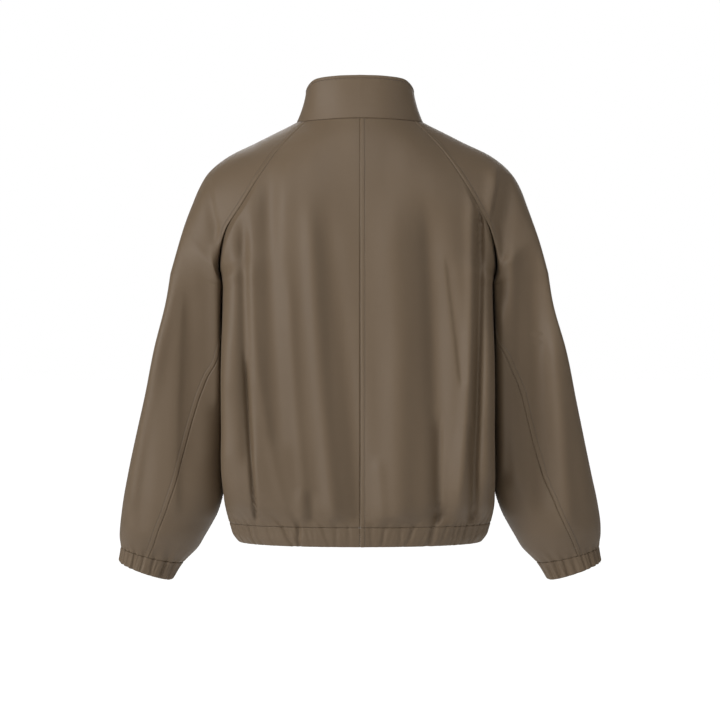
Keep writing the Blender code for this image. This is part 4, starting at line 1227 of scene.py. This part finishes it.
def new_group(name, inputs, outputs):
    """An empty node group with named sockets: inputs give a kind and a default."""
    group = bpy.data.node_groups.new(name, "ShaderNodeTree")
    for label, kind, default in inputs:
        socket = group.interface.new_socket(label, in_out="INPUT", socket_type=kind)
        if default is not None:
            socket.default_value = default
    for label, kind in outputs:
        group.interface.new_socket(label, in_out="OUTPUT", socket_type=kind)
    return group, group.nodes.new("NodeGroupInput"), group.nodes.new("NodeGroupOutput")


def calculate(tree, operation, *values):
    """A Math node: each value is a number or a socket."""
    node = tree.nodes.new("ShaderNodeMath")
    node.operation = operation
    for slot, value in zip(node.inputs, values):
        if isinstance(value, (int, float)):
            slot.default_value = value
        else:
            tree.links.new(value, slot)
    return node.outputs[0]


def noise_node(tree, vector, scale, stretch, detail=3.0):
    """Noise over the cloth, stretched along its axes."""
    mapping = tree.nodes.new("ShaderNodeMapping")
    mapping.inputs["Scale"].default_value = stretch
    tree.links.new(vector, mapping.inputs["Vector"])
    texture = tree.nodes.new("ShaderNodeTexNoise")
    texture.inputs["Scale"].default_value = scale
    texture.inputs["Detail"].default_value = detail
    tree.links.new(mapping.outputs[0], texture.inputs["Vector"])
    return texture.outputs["Fac"]


def made_once(build):
    """Finds the material or node group that has the function's name, or builds it first."""

    @wraps(build)
    def found():
        for blocks in (bpy.data.materials, bpy.data.node_groups):
            if build.__name__ in blocks:
                return blocks[build.__name__]
        return build(build.__name__)

    return found


def weighed(tree, first, share, second):
    """This share of the first value, and the rest of the second."""
    rest = calculate(tree, "MULTIPLY", second, 1 - share)
    return calculate(tree, "MULTIPLY_ADD", first, share, rest)


@made_once
def plain_weave(name):
    """Plain weave on a flat vector in metres: the yarns' height, and which yarn lies on top."""
    inputs = (("Vector", "NodeSocketVector", None), ("Yarns per Metre", "NodeSocketFloat", 1800.0))
    outputs = (("Height", "NodeSocketFloat"), ("Warp", "NodeSocketFloat"))
    group, entry, end = new_group(name, inputs, outputs)
    split = group.nodes.new("ShaderNodeSeparateXYZ")
    group.links.new(entry.outputs["Vector"], split.inputs[0])
    waves = []
    for axis in range(2):
        turns = calculate(group, "MULTIPLY", split.outputs[axis], entry.outputs["Yarns per Metre"])
        waves.append(calculate(group, "SINE", calculate(group, "MULTIPLY", turns, math.pi)))
    crossing = calculate(group, "MULTIPLY", *waves)
    group.links.new(calculate(group, "ABSOLUTE", crossing), end.inputs["Height"])
    group.links.new(calculate(group, "MULTIPLY_ADD", crossing, 0.5, 0.5), end.inputs["Warp"])
    return group


@made_once
def slub(name):
    """Uneven yarns and dye on a flat vector in metres: fine streaks both ways, and slow clouds."""
    inputs = (("Vector", "NodeSocketVector", None),)
    outputs = (("Streaks", "NodeSocketFloat"), ("Clouds", "NodeSocketFloat"))
    group, entry, end = new_group(name, inputs, outputs)
    vector = entry.outputs["Vector"]
    upright = noise_node(group, vector, 1.0, (620, 26, 1))
    level = noise_node(group, vector, 1.0, (30, 560, 1))
    clouds = noise_node(group, vector, 1.0, (13, 5, 1), 2.0)
    group.links.new(weighed(group, upright, 0.5, level), end.inputs["Streaks"])
    group.links.new(clouds, end.inputs["Clouds"])
    return group


def use_group(tree, group, vector, **values):
    node = tree.nodes.new("ShaderNodeGroup")
    node.node_tree = group
    tree.links.new(vector, node.inputs["Vector"])
    for label, value in values.items():
        node.inputs[label.replace("_", " ")].default_value = value
    return node


def new_material(name, **settings):
    """A Principled material with plain values on its own sockets, and its tree to build on."""
    material = bpy.data.materials.new(name)
    material.use_nodes = True
    shader = material.node_tree.nodes["Principled BSDF"]
    for label, value in settings.items():
        shader.inputs[label.replace("_", " ")].default_value = value
    return material, material.node_tree, shader


def blended(tree, share, first, second, to):
    """A colour that varies between two by a mask."""
    node = tree.nodes.new("ShaderNodeMix")
    node.data_type = "RGBA"
    node.inputs[6].default_value = (*first, 1)
    node.inputs[7].default_value = (*second, 1)
    tree.links.new(share, node.inputs["Factor"])
    tree.links.new(node.outputs[2], to)


def ranged(tree, value, low, high, to, source=(0.3, 0.7)):
    """A number that varies between two as a value goes through its source range."""
    node = tree.nodes.new("ShaderNodeMapRange")
    for k, number in enumerate((*source, low, high)):
        node.inputs[1 + k].default_value = number
    tree.links.new(value, node.inputs["Value"])
    tree.links.new(node.outputs[0], to)


def raised(tree, shader, height, distance, strength=1.0):
    node = tree.nodes.new("ShaderNodeBump")
    node.inputs["Distance"].default_value = distance
    node.inputs["Strength"].default_value = strength
    tree.links.new(height, node.inputs["Height"])
    tree.links.new(node.outputs[0], shader.inputs["Normal"])


def shades(colour, share):
    """A colour darkened to this share of itself."""
    return tuple(share * value for value in colour)


def on_cloth(tree):
    """Where each point lay on the flat cloth, in metres."""
    where = tree.nodes.new("ShaderNodeUVMap")
    where.uv_map = "Cloth"
    return where.outputs[0]


def on_object(tree):
    return tree.nodes.new("ShaderNodeTexCoord").outputs["Object"]


@made_once
def satin_cloth(name):
    look = bpy.context.scene.jacket_finish
    material, tree, shader = new_material(
        name,
        Specular_IOR_Level=0.3,
        Sheen_Weight=look.sheen,
        Sheen_Roughness=0.35,
        Sheen_Tint=(*look.sheen_colour, 1),
    )
    vector = on_cloth(tree)
    weave = use_group(tree, plain_weave(), vector, Yarns_per_Metre=look.yarns_per_metre)
    uneven = use_group(tree, slub(), vector)
    patchy = weighed(tree, uneven.outputs["Clouds"], CLOUD_SHARE, uneven.outputs["Streaks"])
    worn = weighed(tree, weave.outputs["Warp"], WARP_SHARE, patchy)
    blended(tree, worn, look.weft, look.warp, shader.inputs["Base Color"])
    ranged(tree, patchy, look.roughness - 0.05, look.roughness + 0.06, shader.inputs["Roughness"])
    streaks, yarns = uneven.outputs["Streaks"], weave.outputs["Height"]
    height = calculate(tree, "MULTIPLY_ADD", streaks, SLUB_DEPTH, yarns)
    raised(tree, shader, height, look.weave_depth, 0.6)
    return material


@made_once
def zip_tape_weave(name):
    look = bpy.context.scene.jacket_finish
    material, tree, shader = new_material(name, Sheen_Weight=0.15, Sheen_Roughness=0.5)
    vector = on_cloth(tree)
    weave = use_group(tree, plain_weave(), vector, Yarns_per_Metre=TAPE_YARNS)
    streaks = use_group(tree, slub(), vector).outputs["Streaks"]
    worn = weighed(tree, weave.outputs["Warp"], 0.6, streaks)
    blended(tree, worn, shades(look.tape, 0.6), look.tape, shader.inputs["Base Color"])
    ranged(tree, streaks, 0.65, 0.85, shader.inputs["Roughness"])
    raised(tree, shader, weave.outputs["Height"], 0.0002)
    return material


@made_once
def topstitch_thread(name):
    look = bpy.context.scene.jacket_finish
    material, tree, shader = new_material(name, Sheen_Weight=0.2)
    twist = noise_node(tree, on_object(tree), 900.0, (1, 1, 1), 2.0)
    blended(tree, twist, shades(look.thread, 0.75), look.thread, shader.inputs["Base Color"])
    ranged(tree, twist, 0.45, 0.7, shader.inputs["Roughness"])
    raised(tree, shader, twist, 0.0001)
    return material


@made_once
def zip_metal(name):
    look = bpy.context.scene.jacket_finish
    material, tree, shader = new_material(name, Metallic=1.0)
    place = on_object(tree)
    grain = noise_node(tree, place, 260.0, (1, 1, 4), 4.0)
    tarnish = noise_node(tree, place, 60.0, (1, 1, 1))
    blended(tree, tarnish, shades(look.metal, 0.55), look.metal, shader.inputs["Base Color"])
    ranged(tree, grain, 0.25, 0.5, shader.inputs["Roughness"])
    raised(tree, shader, grain, 0.00004)
    return material


def floor_material():
    look = bpy.context.scene.jacket_stage
    material, tree, shader = new_material("studio_floor", Emission_Color=(1, 1, 1, 1))
    seen = tree.nodes.new("ShaderNodeLightPath").outputs["Is Camera Ray"]
    ranged(tree, seen, FLOOR_DIM, look.floor_glow, shader.inputs["Emission Strength"], (0, 1))
    mottle = noise_node(tree, on_object(tree), 3.0, (1, 1, 1))
    blended(tree, mottle, look.floor, shades(look.floor, 0.97), shader.inputs["Base Color"])
    ranged(tree, mottle, 0.75, 0.9, shader.inputs["Roughness"])
    return material


# The sizes and colours that a user would change


def metres(label, text, value, **limits):
    return bpy.props.FloatProperty(
        name=label, description=text, default=value, unit="LENGTH", precision=5, **limits
    )


def colour(label, text, value):
    return bpy.props.FloatVectorProperty(
        name=label, description=text, default=value, subtype="COLOR", size=3, min=0, max=1
    )


def factor(label, text, value, high=1.0):
    return bpy.props.FloatProperty(
        name=label, description=text, default=value, subtype="FACTOR", min=0, max=high
    )


class JacketClothSettings(bpy.types.PropertyGroup):
    """Sizes of the cloth, its seams and its stitches"""

    thickness: metres("Cloth Thickness", "How thick one layer of the cloth is", 0.0009, min=0.0002)
    folds: factor("Folds", "How deep the folds are, as a share of those on the real jacket", 1.0, 2.0)
    gathers: factor("Gathers", "How deep the gathers are, as a share of the real ones", 1.0, 2.0)
    drape: metres("Drape", "How far hanging cloth wanders between its folds", 0.0018, min=0)
    welt: metres("Welt", "How far cloth stands out over a seam's turnings", 0.0004, min=0)
    stitch: metres("Stitch Length", "The length of one stitch", 0.0026, min=0.001)
    stitch_gap: metres("Stitch Gap", "The gap between two stitches", 0.0006, min=0.0002)
    thread: metres("Thread", "The diameter of the topstitching thread", 0.0005, min=0.0001)


class JacketZipSettings(bpy.types.PropertyGroup):
    """Sizes of the zip"""

    tooth_pitch: metres("Tooth Pitch", "From one tooth to the next on the same tape", 0.0026, min=0.002)


class JacketFinishSettings(bpy.types.PropertyGroup):
    """Colours and finishes of the jacket"""

    warp: colour("Warp", "The colour of the yarns that run up the cloth", (0.160, 0.113, 0.070))
    weft: colour("Weft", "The colour of the yarns that run across the cloth", (0.107, 0.074, 0.045))
    roughness: factor("Roughness", "How dull the cloth is", 0.5)
    sheen: factor("Sheen", "How strongly the cloth's nap catches light at its edges", 0.05)
    sheen_colour: colour("Sheen Colour", "The colour of the cloth's sheen", (0.62, 0.55, 0.45))
    yarns_per_metre: bpy.props.FloatProperty(
        name="Yarns", description="Yarns in each metre of cloth", default=2400.0, subtype="UNSIGNED"
    )
    weave_depth: metres("Weave Depth", "How far one yarn stands above the next", 0.00006)
    thread: colour("Thread", "The colour of the topstitching", (0.130, 0.100, 0.074))
    tape: colour("Tape", "The colour of the zip's tape", (0.085, 0.066, 0.050))
    metal: colour("Metal", "The colour of the zip's metal", (0.34, 0.29, 0.22))


class JacketStageSettings(bpy.types.PropertyGroup):
    """The floor, the lights and the camera"""

    distance: metres("Camera Distance", "How far the camera stands behind the jacket's middle", 3.9)
    height: metres("Camera Height", "The camera's height", -0.2856)
    lens: bpy.props.FloatProperty(name="Lens", description="Focal length", default=130.0, unit="CAMERA")
    horizon_above_middle: bpy.props.IntProperty(
        name="Horizon",
        description="How far the horizon stands above the picture's middle",
        default=48,
        subtype="PIXEL",
    )
    floor_height: metres("Floor Height", "The floor's height below the neck", -1.45)
    floor: colour("Floor Colour", "The colour of the floor", (0.93, 0.93, 0.93))
    floor_glow: factor("Floor Glow", "Light that the pale floor gives back", 0.85)
    power: bpy.props.FloatProperty(
        name="Light", description="Power of the key light", default=62.0, unit="POWER"
    )
    surround: factor("Surround", "Light from the pale room", 0.22)


SETTINGS = {
    "jacket_cloth": JacketClothSettings,
    "jacket_zip": JacketZipSettings,
    "jacket_finish": JacketFinishSettings,
    "jacket_stage": JacketStageSettings,
}
PICTURE_WIDTH = 720


class JACKET_OT_body(bpy.types.Operator):
    """Sew the two back panels and the two front panels"""

    bl_idname = "jacket.body"
    bl_label = "Back and Fronts"

    def execute(self, context):
        make_body(band=False)
        return {"FINISHED"}


class JACKET_OT_hem_band(bpy.types.Operator):
    """Sew the gathered hem band in its four quarters"""

    bl_idname = "jacket.hem_band"
    bl_label = "Hem Band"

    def execute(self, context):
        make_body(band=True)
        return {"FINISHED"}


class JACKET_OT_sleeves(bpy.types.Operator):
    """Sew both raglan sleeves and their undersleeves"""

    bl_idname = "jacket.sleeves"
    bl_label = "Sleeves"

    def execute(self, context):
        for side, hand in HANDS:
            make_sleeve(side, hand)
        return {"FINISHED"}


class JACKET_OT_cuffs(bpy.types.Operator):
    """Sew both gathered cuffs"""

    bl_idname = "jacket.cuffs"
    bl_label = "Cuffs"

    def execute(self, context):
        for side, hand in HANDS:
            make_cuff(side, hand)
        return {"FINISHED"}


class JACKET_OT_collar(bpy.types.Operator):
    """Sew the stand collar"""

    bl_idname = "jacket.collar"
    bl_label = "Collar"

    def execute(self, context):
        make_collar()
        return {"FINISHED"}


class JACKET_OT_zip(bpy.types.Operator):
    """Set the zip's tapes and its two rows of teeth behind the front edges"""

    bl_idname = "jacket.zip"
    bl_label = "Zip"

    def execute(self, context):
        for side, hand in HANDS:
            zip_tape(side, hand)
            zip_teeth(side, hand)
        return {"FINISHED"}


class JACKET_OT_slider(bpy.types.Operator):
    """Set the zip's slider, pull tab and stop box"""

    bl_idname = "jacket.slider"
    bl_label = "Slider and Stop Box"

    def execute(self, context):
        zip_slider()
        zip_pull_tab()
        zip_stop_box()
        return {"FINISHED"}


class JACKET_OT_stage(bpy.types.Operator):
    """Set up the pale floor, the soft lights and the camera"""

    bl_idname = "jacket.stage"
    bl_label = "Stage"

    def execute(self, context):
        make_stage(context.scene)
        return {"FINISHED"}


Softbox = namedtuple("Softbox", "azimuth elevation distance width height share")
SOFTBOXES = (
    Softbox(127, 14, 7.0, 3.0, 4.0, 5.0),
    Softbox(180, 48, 2.9, 1.4, 1.4, 0.42),
    Softbox(240, 30, 2.9, 1.4, 1.8, 0.16),
    Softbox(10, 40, 3.0, 1.2, 1.6, 0.4),
    Softbox(-14, 15, 3.0, 1.2, 1.6, 0.2),
)
FLOOR_RADIUS, FLOOR_SIDES = 40, 96


def make_stage(scene):
    stage = scene.jacket_stage
    centre = (0, 0, stage.floor_height)
    bpy.ops.mesh.primitive_circle_add(
        vertices=FLOOR_SIDES, radius=FLOOR_RADIUS, fill_type="NGON", location=centre
    )
    floor = bpy.context.object
    floor.name = floor.data.name = "studio_floor"
    floor.data.materials.append(floor_material())
    low, high = CAD_BOX
    middle = (low + high) / 2
    for k, box in enumerate(SOFTBOXES):
        light = bpy.data.lights.new(f"softbox_{k}", "AREA")
        light.shape = "RECTANGLE"
        light.size, light.size_y = box.width, box.height
        light.energy = stage.power * box.share
        lamp = bpy.data.objects.new(light.name, light)
        scene.collection.objects.link(lamp)
        turn, tilt = math.radians(box.azimuth), math.radians(box.elevation)
        level = Vector((math.sin(turn), -math.cos(turn), 0)) * math.cos(tilt)
        away = level + Vector((0, 0, math.sin(tilt)))
        lamp.location = middle + away * box.distance
        lamp.rotation_mode = "QUATERNION"
        lamp.rotation_quaternion = away.to_track_quat("Z", "Y")
        lamp.visible_camera = False
    world = bpy.data.worlds.new("pale_room")
    scene.world = world
    world.use_nodes = True
    tree = world.node_tree
    background = tree.nodes["Background"]
    background.inputs["Color"].default_value = (1, 1, 1, 1)
    seen = tree.nodes.new("ShaderNodeLightPath").outputs["Is Camera Ray"]
    ranged(tree, seen, stage.surround, 1.0, background.inputs["Strength"], (0, 1))
    lens = bpy.data.cameras.new("camera")
    lens.lens = stage.lens
    lens.shift_y = -stage.horizon_above_middle / PICTURE_WIDTH
    camera = bpy.data.objects.new("camera", lens)
    scene.collection.objects.link(camera)
    camera.location = (0, stage.distance, stage.height)
    camera.rotation_euler = (math.radians(90), 0, math.radians(180))
    scene.camera = camera
    scene.view_settings.view_transform = "Standard"


OPERATORS = (
    JACKET_OT_body,
    JACKET_OT_hem_band,
    JACKET_OT_sleeves,
    JACKET_OT_cuffs,
    JACKET_OT_collar,
    JACKET_OT_zip,
    JACKET_OT_slider,
    JACKET_OT_stage,
)


class JACKET_PT_sidebar(bpy.types.Panel):
    """Lists the jacket's settings and the steps that sew it"""

    bl_idname = "JACKET_PT_sidebar"
    bl_label = "Bomber Jacket"
    bl_space_type = "VIEW_3D"
    bl_region_type = "UI"
    bl_category = "Jacket"

    def draw(self, context):
        for name, kind in SETTINGS.items():
            box = self.layout.box()
            box.label(text=kind.__doc__)
            for label in kind.__annotations__:
                box.prop(getattr(context.scene, name), label)
        for operator in OPERATORS:
            self.layout.operator(operator.bl_idname)


def register():
    for kind in (*SETTINGS.values(), *OPERATORS, JACKET_PT_sidebar):
        bpy.utils.register_class(kind)
    for name, kind in SETTINGS.items():
        setattr(bpy.types.Scene, name, bpy.props.PointerProperty(type=kind))


def unregister():
    for name in SETTINGS:
        delattr(bpy.types.Scene, name)
    for kind in reversed((*SETTINGS.values(), *OPERATORS, JACKET_PT_sidebar)):
        bpy.utils.unregister_class(kind)


def main():
    register()
    bpy.ops.jacket.body()
    bpy.ops.jacket.hem_band()
    bpy.ops.jacket.sleeves()
    bpy.ops.jacket.cuffs()
    bpy.ops.jacket.collar()
    bpy.ops.jacket.zip()
    bpy.ops.jacket.slider()
    bpy.ops.jacket.stage()


if __name__ == "__main__":
    main()
